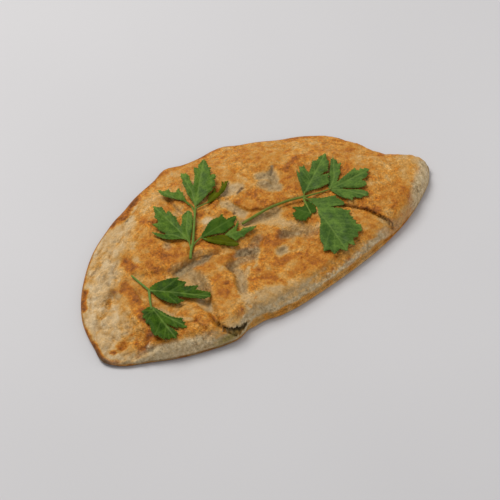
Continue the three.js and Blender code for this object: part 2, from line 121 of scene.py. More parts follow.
def outline_point(deg):
    r, a = radius(deg), np.radians(deg)
    return np.stack([POLE[0] + r * np.cos(a), POLE[1] + r * np.sin(a)], -1)


RIM_LINE = outline_point(np.append(np.arange(FOLD_TO - 360, FOLD_FROM - 0.1, 2.5), FOLD_FROM))
FOLD_LINE = outline_point(np.arange(FOLD_FROM, FOLD_TO + 0.01, 2.5))


def distance(path, x, y):
    """distance to a polyline, or to a point"""
    path = np.asarray(path, float)
    best = np.full(np.shape(x), 1e9)
    if len(path) == 1:
        return np.hypot(x - path[0][0], y - path[0][1])
    for (ax, ay), (bx, by) in zip(path[:-1], path[1:]):
        ux, uy = bx - ax, by - ay
        t = np.clip(((x - ax) * ux + (y - ay) * uy) / (ux * ux + uy * uy + 1e-12), 0, 1)
        best = np.minimum(best, np.hypot(x - ax - t * ux, y - ay - t * uy))
    return best


def inside(poly, x, y):
    """distance to a closed outline, positive inside it"""
    poly = np.asarray(poly, float)
    odd = np.zeros(np.shape(x), bool)
    for (ax, ay), (bx, by) in zip(poly, np.roll(poly, -1, 0)):
        cross = ((ay > y) != (by > y)) & (x < (bx - ax) * (y - ay) / (by - ay + 1e-12) + ax)
        odd ^= cross
    return distance(np.vstack([poly, poly[:1]]), x, y) * np.where(odd, 1, -1)


def noise(p, size, seed):
    """smooth noise in space, about -1 to 1, the same on every run"""
    q = np.asarray(p, float) / size + 37.7 * (seed % 17) + 0.5
    i = np.floor(q).astype(np.int64)
    f = q - i
    w = f * f * f * (f * (f * 6 - 15) + 10)
    total = np.zeros(len(q))
    for dx in (0, 1):
        for dy in (0, 1):
            for dz in (0, 1):
                c = i + (dx, dy, dz)
                h = (c[:, 0] * 73856093) ^ (c[:, 1] * 19349663) ^ (c[:, 2] * 83492791) ^ (seed * 2654435761)
                h = h & 0xFFFFFFFF
                h = ((h ^ (h >> 15)) * 2246822519) & 0xFFFFFFFF
                h = ((h ^ (h >> 13)) * 3266489917) & 0xFFFFFFFF
                h ^= h >> 16
                a = (h & 1023) / 1023 * 2 * np.pi
                z = ((h >> 10) & 1023) / 511.5 - 1
                s = np.sqrt(1 - z * z)
                dot = s * np.cos(a) * (f[:, 0] - dx) + s * np.sin(a) * (f[:, 1] - dy) + z * (f[:, 2] - dz)
                total += (dot * (w[:, 0] if dx else 1 - w[:, 0]) * (w[:, 1] if dy else 1 - w[:, 1])
                          * (w[:, 2] if dz else 1 - w[:, 2]))
    return total * 1.6


def fbm(p, size, seed, octaves=3, gain=0.5):
    total, amp = 0, 1.0
    for k in range(octaves):
        total = total + amp * noise(p, size / 2**k, seed + 31 * k)
        amp *= gain
    return total


def flat(x, y):
    return np.stack([x, y, np.zeros_like(x)], -1)


# --------------------------------------------------------- the bread's shape
# raised pads that the pan browned: a closed outline, its shoulder's width, its rise
PADS = [
    ([(-46.5, -17), (-43, -15), (-37, -14.5), (-33, -13), (-29, -14), (-25, -15.5), (-23, -17), (-23, -20),
      (-27, -22.5), (-31, -23), (-29.5, -26), (-29, -30), (-31, -34), (-34, -38), (-35.5, -43), (-36, -47),
      (-33, -50), (-33, -57), (-39, -60), (-44.5, -61), (-47.5, -64.5), (-51, -65.5), (-54.5, -63.5), (-57.5, -60),
      (-59.5, -57), (-56, -50), (-54, -45), (-53, -40), (-51, -35), (-50, -30), (-48.5, -25), (-47, -20)], 1.9, 2.7),
    ([(8, 19), (17, 19.5), (25, 18.5), (27, 10), (33, 3), (39, -3), (38, -6), (30, -4.5), (19, -2), (8, 3), (4, 9), (2, 16)], 2.4, 2.2),
    ([(-4, 22.5), (2, 16), (3, 9), (-1, 10), (-6, 11), (-12, 12), (-14, 16), (-12, 20)], 3.5, 1.2),
    ([(-37, -52), (-29, -41), (-22.6, -34), (-14, -30), (-7, -26), (-2, -21.5), (4, -18), (9, -17.5), (14, -18.5), (17, -24),
      (19, -32), (27, -38), (36, -38), (38, -47), (26, -58), (0, -62), (-30, -62)], 3.0, 2.3),
    ([(-65.3, 19.7), (-60, 22), (-53, 20.5), (-47, 10), (-42, 1), (-44, -5), (-57, -7.5), (-66, -3), (-75, 1), (-80, 8), (-74, 14)], 5.0, 2.1),
    ([(-70, -33), (-62, -36), (-60, -46), (-61, -58), (-70, -57), (-80, -50), (-80, -40)], 4.5, 1.9),
    ([(-96, -4), (-88, 0), (-86, -12), (-90, -30), (-93, -42), (-101, -44), (-100, -30), (-98, -16)], 4.5, 1.6),
    ([(-36, 0), (-27, -4), (-22, -8), (-26, -11), (-34, -7), (-41, -4)], 2.8, 1.8),
    ([(-119, -3), (-112, -0.5), (-105, -2.5), (-102.8, -6), (-104.5, -10.5), (-110, -13), (-116, -11.5), (-119.5, -8)], 3.4, 1.9),
    ([(46, 20), (60, 22), (84, 12), (100, -8), (106, -26), (100, -44), (82, -58), (76, -46), (66, -34), (58, -22), (44, -6), (42, 6)], 9.0, 1.5),
    ([(44, -12), (56, -26), (66, -42), (70, -60), (50, -66), (44, -50), (34, -36), (30, -22)], 6.0, 1.5),
]
# valleys and creases: a path, its half width, its depth
VALLEYS = [
    ([(-59, -10), (-52, -9), (-43, -7.7), (-36, -9.6), (-31, -11.6), (-28, -13)], 1.5, 1.5),
    ([(-57, -13), (-50, -16), (-49, -22), (-51, -29), (-55, -36), (-57, -43)], 4.4, 1.4),
    ([(-51, -20), (-52, -30), (-54.5, -39), (-57, -49)], 2.0, 0.8),
    ([(-21, -20), (-14, -22.5), (-8, -23.5), (-3, -19)], 4.6, 2.3),
    ([(-27, -25), (-19, -26), (-11, -27)], 3.2, 2.0),
    ([(-28.5, -27), (-27.5, -33), (-30, -39), (-33, -45)], 3.0, 2.5),
    ([(-37, -50), (-37.5, -56)], 1.2, 0.4),
    ([(14, -26), (21, -26), (26, -32)], 4.5, 2.2),
    ([(4, -34.5)], 3.4, 2.2),
    ([(13, -27)], 3.0, 1.0),
    ([(-2, 18), (0.5, 10), (3, 3.5)], 2.8, 1.5),
    ([(4, 24.5), (10, 23), (15, 22)], 3.0, 0.8), ([(9.5, 19.2), (15, 21)], 1.0, 1.0),
    ([(27, 15), (33, 9), (36, 17), (31, 22)], 3.6, 1.8),
    ([(35, 14), (38, 20), (41, 25)], 1.8, 1.2),
    ([(-1, -3), (10, -6), (18, -8), (21, -5)], 3.0, 1.6),
    ([(-19, 13)], 3.0, 1.0),
    ([(-50, 10)], 3.2, 1.0),
    ([(-101, 0), (-104.5, -4.5), (-109, -8)], 2.3, 1.1), ([(-96.8, 3), (-97.3, -3)], 2.1, 2.0), ([(-105, 6.5), (-99, 10.5), (-94, 11.5)], 1.4, 0.9), ([(-27, 41), (-28, 34), (-27.5, 27)], 1.5, 1.2), ([(-94, 9), (-92.5, 17)], 1.1, 0.7),
    ([(-95, -4)], 2.4, 1.0), ([(-96, 6), (-92, 13), (-87, 12)], 2.4, 1.0),
    ([(-111, 5), (-106, 1)], 2.2, 1.0), ([(-86, 17), (-80, 20), (-74, 16)], 2.2, 0.9),
    ([(-100, -20), (-104, -26), (-103, -34)], 2.6, 0.9), ([(-117, -20), (-112, -27), (-113, -33)], 2.4, 0.9),
    ([(-101, 12), (-97, 20), (-90, 27)], 2.6, 0.8), ([(-80, 32), (-70, 36), (-62, 35)], 2.4, 0.7),
    ([(-100, -34), (-106, -41), (-112, -44)], 2.6, 0.9),
    # swollen folds of the pale end: the same, but they rise
    ([(-105, -17), (-108, -28)], 4.2, -1.1),
    ([(-97, -12), (-95, -24)], 3.2, -0.8), ([(-103, 6), (-98, 13)], 3.6, -0.9),
    ([(-119, -14), (-121, -24)], 3.2, -0.9), ([(-93, 20), (-84, 26)], 3.6, -0.9),
    ([(-108, -38), (-116, -37)], 3.4, -0.8), ([(-74, 28), (-66, 29)], 3.2, -0.6),
    ([(-84, -23), (-79, -32), (-75, -41), (-71, -46)], 2.6, 1.0),
    ([(-74, -45), (-69, -47), (-68, -55)], 1.3, 0.9),
    ([(-60, -49), (-60.5, -58)], 1.4, 1.0),
    ([(-60, 26), (-56, 16), (-56, 5)], 2.4, 0.7),
]
# the crack in the crust near the right end
CRACK = [(49, -24), (57, -27.6), (60, -32), (63, -36), (66.5, -39), (69, -43), (70, -47), (71.5, -51), (72.6, -55), (72, -58), (69.4, -62.5), (70, -67)]
# soft bosses: centre, radii, height
BOSSES = [
    ((-110, -17), (9, 6), 0.5), ((-75, 33), (9, 5), 0.5), ((-90, 6), (5, 5), 0.6), ((-62, 40), (8, 5), 0.5),
    ((37, 14), (3, 3), 0.8), ((37, 10), (3, 2), 0.6), ((-115.3, -36.2), (3.4, 3.0), 0.8), ((-121.6, -36.8), (2.2, 2.2), 0.6),
    ((32, 19), (2.6, 2.6), 0.7), ((-28, -37), (1.6, 3.0), 0.5), ((20, -29.5), (1.8, 1.4), 0.8), ((5.5, -33), (1.6, 1.2), 0.6),
    ((-18.5, 12.5), (2.6, 2.6), 1.6), ((-99, -6), (2.6, 4.5), 0.7), ((-88, 22), (4, 2.6), 0.6),
]


def seen(x, y, h):
    """where a point at height h looks to be on the plane that features are placed on"""
    t = (h - PLANE) / (EYE[2] - h)
    return x + (x - EYE[0]) * t, y + (y - EYE[1]) * t


def off_crack(u, v):
    """how far a place is from the crack, and on which side"""
    p = flat(u, v)
    a, b = u + 0.45 * noise(p, 2.6, 16), v + 0.45 * noise(p, 2.6, 17)
    away = distance(CRACK, a, b)
    behind = np.interp(b, [q[1] for q in reversed(CRACK)], [q[0] for q in reversed(CRACK)])
    return away, np.where(a > behind, 1.0, -1.0), smooth(49, 58, a) * 0.75 + 0.25


def folds(p):
    """soft slanting folds of the pale end: how high, and how deep in a crease between two"""
    q = np.stack([(0.77 * p[:, 0] + 0.64 * p[:, 1]) / 2.4, 0.77 * p[:, 1] - 0.64 * p[:, 0], p[:, 2]], -1)
    q[:, 1] += 1.4 * noise(p, 9, 54)
    return noise(q, 5.2, 52), (1 - np.abs(noise(q, 7.0, 53)) * 3.2).clip(0, 1) ** 2


def middle(x, y):
    """height of the bread away from its edges"""
    h = np.full(np.shape(x), BODY)
    u, v = seen(x, y, 12.5)
    p = flat(x, y)
    shape = u.shape
    u, v, p = u.ravel(), v.ravel(), p.reshape(-1, 3)
    wx = 0.8 * noise(p, 9, 3) + 0.5 * noise(p, 3.2, 5)
    wy = 0.8 * noise(p, 9, 4) + 0.5 * noise(p, 3.2, 6)
    away, side, share = off_crack(u, v)
    u, v = u + wx, v + wy
    rise = np.zeros(len(u))
    for poly, soft, up in PADS:
        rise = np.maximum(rise, up * smooth(-soft * 0.45, soft * 0.35, inside(poly, u, v)))
    h = h.ravel() + rise
    for path, half, depth in VALLEYS:
        h = h - depth * 1.35 * np.exp(-(distance(path, u, v) / half) ** 2)
    # the crack's far side curls up over the near one
    h = h + share * (0.5 * (side > 0) * np.exp(-(away / 3.4) ** 2) - 0.45 * (side < 0) * np.exp(-(away / 3.0) ** 2))
    for (cx, cy), (rx, ry), up in BOSSES:
        h = h + up * np.exp(-((u - cx) / rx) ** 2 - ((v - cy) / ry) ** 2)
    over = h - PAN_PLANE
    h = np.where(over > -1, PAN_PLANE - 1 + np.tanh(over + 1), h)
    h = h - 2.4 * share * np.exp(-(away / 0.48) ** 2)
    return h.reshape(shape)


def tipness(x):
    return smooth(82, 112, x)


def quarter(u):
    t = 1 - np.clip(u, 0, 1)
    return np.sqrt(np.maximum(0, 1 - t * t))


def lip_width(x):
    """the browned lip at the foot of the fold, broad between the tear and the right part"""
    return 0.35 + 0.95 * smooth(-50, -40, x) * (1 - smooth(55, 80, x))


def top_height(x, y, body=None):
    body = middle(x, y) if body is None else body
    to_rim, to_fold = distance(RIM_LINE, x, y), distance(FOLD_LINE, x, y)
    tip = tipness(x)
    edge = mix(RIM_EDGE, TIP_EDGE, tip)
    ramp = mix(mix(RIM_RAMP, LEFT_RAMP, smooth(45, 95, -x)), 16, tip)
    widest = mix(RIM_WIDEST, FOLD_LIP, tip)
    h = edge + (BODY - edge) * np.sin(np.clip(to_rim / ramp, 0, 1) * np.pi / 2) ** 1.25
    h = h + (body - BODY) * smooth(0.5, 9, to_rim)
    h = widest + (h - widest) * quarter(to_rim / mix(1.6, 5, tip))
    lip = lip_width(x)
    foot = mix(2.3, 3.4, (lip - 0.35) / 0.95)
    h = foot + (h - foot) * quarter((to_fold - lip) / FOLD_ROUND) * smooth(0, 1, to_fold / lip)
    return np.maximum(h, 1.2)


def under_height(x, y):
    to_rim, to_fold = distance(RIM_LINE, x, y), distance(FOLD_LINE, x, y)
    return np.maximum(RIM_LIFT * (1 - smooth(0, 9, to_rim)), 0.5 * (1 - smooth(0, 4, to_fold)))


def slant(deg):
    a, b = outline_point(deg - 1), outline_point(deg + 1)
    d = b - a
    l = np.hypot(d[..., 0], d[..., 1])
    c, s = np.cos(np.radians(deg)), np.sin(np.radians(deg))
    return np.maximum(0.45, (d[..., 1] * c - d[..., 0] * s) / l)


_STRETCH = sum(w / slant(_DEGS + k) for k, w in zip(range(-8, 9), (np.hanning(19)[1:-1] / np.hanning(19)[1:-1].sum())))


def stretch(deg):
    """plan distance along the bearing for each millimetre in from the outline, evened out round bends"""
    return np.interp(np.asarray(deg, float) % 360, _DEGS, _STRETCH, period=360)


def disc(nu, nv, limit):
    """cells over the outline: plan positions, bearings, faces and the border's vertices"""
    u, v = np.meshgrid(np.linspace(-1, 1, nu + 1), np.linspace(-1, 1, nv + 1))
    a, b = u * np.sqrt(1 - v * v / 2), v * np.sqrt(1 - u * u / 2)
    deg = np.degrees(np.arctan2(b, a)).ravel()
    r = np.hypot(a, b).ravel() * limit(deg)
    x, y = POLE[0] + r * np.cos(np.radians(deg)), POLE[1] + r * np.sin(np.radians(deg))
    faces = []
    for j in range(nv):
        for i in range(nu):
            a0 = j * (nu + 1) + i
            b0, c0, d0 = a0 + 1, a0 + nu + 2, a0 + nu + 1
            faces += [(a0, b0, d0), (b0, c0, d0)] if (i < nu / 2) == (j < nv / 2) else [(a0, b0, c0), (a0, c0, d0)]
    border = ([i for i in range(nu)] + [j * (nu + 1) + nu for j in range(nv)]
              + [nv * (nu + 1) + i for i in range(nu, 0, -1)] + [j * (nu + 1) for j in range(nv, 0, -1)])
    return x, y, deg, faces, border


def make_mesh(name, vertices, faces):
    mesh = bpy.data.meshes.new(name)
    v = (np.asarray(vertices, float) + CENTRE_SHIFT) * MM
    mesh.from_pydata([tuple(p) for p in v], [], [tuple(int(i) for i in f) for f in faces])
    mesh.validate()
    mesh.update()
    obj = bpy.data.objects.new(name, mesh)
    bpy.context.scene.collection.objects.link(obj)
    return obj


def coordinates(obj):
    """the vertices of a piece, in millimetres of the bread's own frame"""
    co = np.empty(len(obj.data.vertices) * 3, np.float32)
    obj.data.vertices.foreach_get("co", co)
    return co.reshape(-1, 3).astype(float) / MM - CENTRE_SHIFT


def normals(obj):
    no = np.empty(len(obj.data.vertices) * 3, np.float32)
    obj.data.vertices.foreach_get("normal", no)
    return no.reshape(-1, 3).astype(float)


def place(obj, vertices):
    v = ((np.asarray(vertices, float) + CENTRE_SHIFT) * MM).astype(np.float32)
    obj.data.vertices.foreach_set("co", v.ravel())
    obj.data.update()


def attribute(obj, name, values):
    a = obj.data.attributes.new(name, "FLOAT", "POINT")
    a.data.foreach_set("value", np.asarray(values, np.float32))


def shade_smooth(obj):
    obj.data.polygons.foreach_set("use_smooth", [True] * len(obj.data.polygons))


def combine(obj, other, how):
    """a boolean of two closed pieces, applied to the first; the second goes"""
    m = obj.modifiers.new("cut", "BOOLEAN")
    m.operation, m.solver, m.object = how, "MANIFOLD", other
    bpy.context.view_layer.update()
    graph = bpy.context.evaluated_depsgraph_get()
    mesh = bpy.data.meshes.new_from_object(obj.evaluated_get(graph))
    old = obj.data
    obj.modifiers.clear()
    obj.data = mesh
    bpy.data.meshes.remove(old)
    bpy.data.objects.remove(other)
    mesh.name = obj.name
    if not len(mesh.polygons):
        raise RuntimeError("the boolean left nothing of " + obj.name)
    return obj


NU, NV = 288, 186
RINGS = [8, 7.2, 6.4, 5.7, 5.0, 4.4, 3.9, 3.4, 3.0, 2.65, 2.35, 2.1, 1.9, 1.72, 1.57, 1.45, 1.35, 1.27, 1.22, 1.17, 0.8, 0.4, 0.12]


def bread_outer():
    def limit(s):
        return lambda deg: radius(deg) - s * stretch(deg)

    x, y, deg, faces, border = disc(NU, NV, limit(RINGS[0]))
    border = np.array(border)
    bearings = deg[border]
    plans, heights = [flat(x, y)], [top_height(x, y)]
    count = len(x)
    rings = [border]

    def add_ring(px, py, pz):
        nonlocal count
        plans.append(flat(px, py))
        heights.append(np.broadcast_to(pz, px.shape).astype(float))
        rings.append(np.arange(count, count + len(px)))
        count += len(px)

    wide = lip_width(outline_point(bearings)[:, 0])

    def plan(s):
        # the rings lie closest where the wall stands steepest, just inside the lip
        s = wide * s / 1.2 if s < 1.2 else wide + (s - 1.2) * (RINGS[0] - wide) / (RINGS[0] - 1.2)
        r = limit(s)(bearings)
        return POLE[0] + r * np.cos(np.radians(bearings)), POLE[1] + r * np.sin(np.radians(bearings))

    for s in RINGS[1:]:
        px, py = plan(s)
        add_ring(px, py, top_height(px, py))
    px, py = plan(0)
    widest = mix(RIM_WIDEST, FOLD_LIP * 0.55, tipness(px)) + 0.1
    add_ring(px, py, widest)
    wide = 1.2
    for s, t in ((0.1, 0.6), (0.4, 0.22), (1.1, 0.0)):
        px, py = plan(s)
        low = under_height(px, py)
        add_ring(px, py, mix(low, widest, t))
    for s in (2.5, 4.5, 6.5):
        px, py = plan(s)
        add_ring(px, py, under_height(px, py))
    for inner, outer in zip(rings[:-1], rings[1:]):
        n = len(inner)
        for k in range(n):
            m = (k + 1) % n
            faces += [(inner[k], outer[k], outer[m]), (inner[k], outer[m], inner[m])]
    # the underside, its cells three times as wide
    ux, uy, udeg, ufaces, uborder = disc(NU // 3, NV // 3, limit(9.0))
    base = count
    plans.append(flat(ux, uy))
    heights.append(np.zeros(len(ux)))
    count += len(ux)
    faces += [(a + base, c + base, b + base) for a, b, c in ufaces]
    last, coarse = rings[-1], [k + base for k in uborder]
    nc, nf = len(coarse), len(last)
    for k in range(nc):
        f = [last[(3 * k + i) % nf] for i in range(4)]
        c0, c1 = coarse[k], coarse[(k + 1) % nc]
        faces += [(c0, f[1], f[0]), (c0, f[2], f[1]), (c0, c1, f[2]), (c1, f[3], f[2])]
    vertices = np.vstack(plans)
    vertices[:, 2] = np.concatenate(heights)
    # every face of the lower side was wound for the upper one's border
    return vertices, faces


def roof_over(p, n):
    """height of the room's roof: under the lowest of the finished top nearby"""
    top = (n[:, 2] > 0.45) & (p[:, 2] > 2.5)
    q = p[top]
    tree = KDTree(len(q))
    for i, (x, y, _) in enumerate(q):
        tree.insert((x, y, 0.0), i)
    tree.balance()

    def roof(x, y):
        out = []
        for a, b in zip(x, y):
            near = [q[i][2] for _, i, _ in tree.find_range((a, b, 0.0), ROOF_REACH)]
            out.append(min(near) if near else 6.0)
        return np.array(out) - ROOF_SKIN
    return roof


def inner_solid(gap, name, roof, nu=66, nv=39, fold_wall=FOLD_WALL):
    """the room for the filling, or the filling itself when inset by a gap"""
    def limit(deg):
        x = outline_point(deg)[..., 0]
        d = deg % 360
        fold = smooth(FOLD_FROM - 6, FOLD_FROM + 10, d) * (1 - smooth(FOLD_TO - 8, FOLD_TO + 2, d))
        return radius(deg) - (mix(mix(SEAL, 7, tipness(x)), fold_wall, fold) + gap) * stretch(deg)

    x, y, deg, faces, border = disc(nu, nv, limit)
    high = np.maximum(roof(x, y) - 2 * gap, FLOOR + gap + (0.3 if gap else 0.9))
    n = len(x)
    vertices = np.vstack([np.stack([x, y, np.full(n, FLOOR + gap)], -1), np.stack([x, y, high], -1)])
    out = [(a + n, b + n, c + n) for a, b, c in faces] + [(a, c, b) for a, b, c in faces]
    for k in range(len(border)):
        a, b = border[k], border[(k + 1) % len(border)]
        out += [(a, b, b + n), (a, b + n, a + n)]
    return make_mesh(name, vertices, out)


def tear_wedge(shrink, start, name):
    """an uneven wedge that follows the tear, flaring at its mouth, narrowing in under the dough"""
    keys = np.array(TEAR if not shrink else TEAR[1:-1])
    n = 31
    t = np.linspace(0, len(keys) - 1, n)
    i = np.minimum(t.astype(int), len(keys) - 2)
    f = (t - i)[:, None]
    line = keys[i] * (1 - f) + keys[i + 1] * f
    steps, round_ = 9, 6
    vertices = []
    for k, (x, y, z, gape, deep) in enumerate(line):
        end = TEAR_DEPTH * deep - shrink
        ring = []
        for j in range(steps):
            depth = start + (end - start) * j / (steps - 1)
            u = (depth + 4) / (TEAR_DEPTH + 4)
            half = max(gape / 2 * (1 - 0.65 * u) * (1 + FLARE * max(0, -depth) / 4) - shrink, 0.06)
            wob = 0 if shrink else 0.35 * math.sin(k * 0.9 + depth * 0.8) * half + 0.22 * half * math.sin(2.3 * k - depth)
            ring.append((x + TEAR_INWARD[0] * depth, y + TEAR_INWARD[1] * depth, z - u, half, wob))
        vertices += [(a, b, c + h + w) for a, b, c, h, w in ring]
        vertices += [(a, b, c - h + 0.7 * w) for a, b, c, h, w in reversed(ring)]
    faces, m = [], 2 * steps
    for k in range(n - 1):
        for i in range(m):
            j = (i + 1) % m
            faces += [(k * m + i, k * m + j, k * m + m + j), (k * m + i, k * m + m + j, k * m + m + i)]
    last = (n - 1) * m
    for base, flip in ((0, True), (last, False)):
        for i in range(steps - 1):
            a, b, c, d = base + i, base + i + 1, base + m - 2 - i, base + m - 1 - i
            faces += [(a, c, b), (a, d, c)] if flip else [(a, b, c), (a, c, d)]
    obj = make_mesh(name, vertices, faces)
    if volume(obj) < 0:
        obj.data.flip_normals()
    return obj


def volume(obj):
    v = coordinates(obj)
    total = 0.0
    obj.data.calc_loop_triangles()
    t = np.array([tuple(q.vertices) for q in obj.data.loop_triangles])
    a, b, c = v[t[:, 0]], v[t[:, 1]], v[t[:, 2]]
    return float(np.einsum("ij,ij->i", a, np.cross(b, c)).sum() / 6)


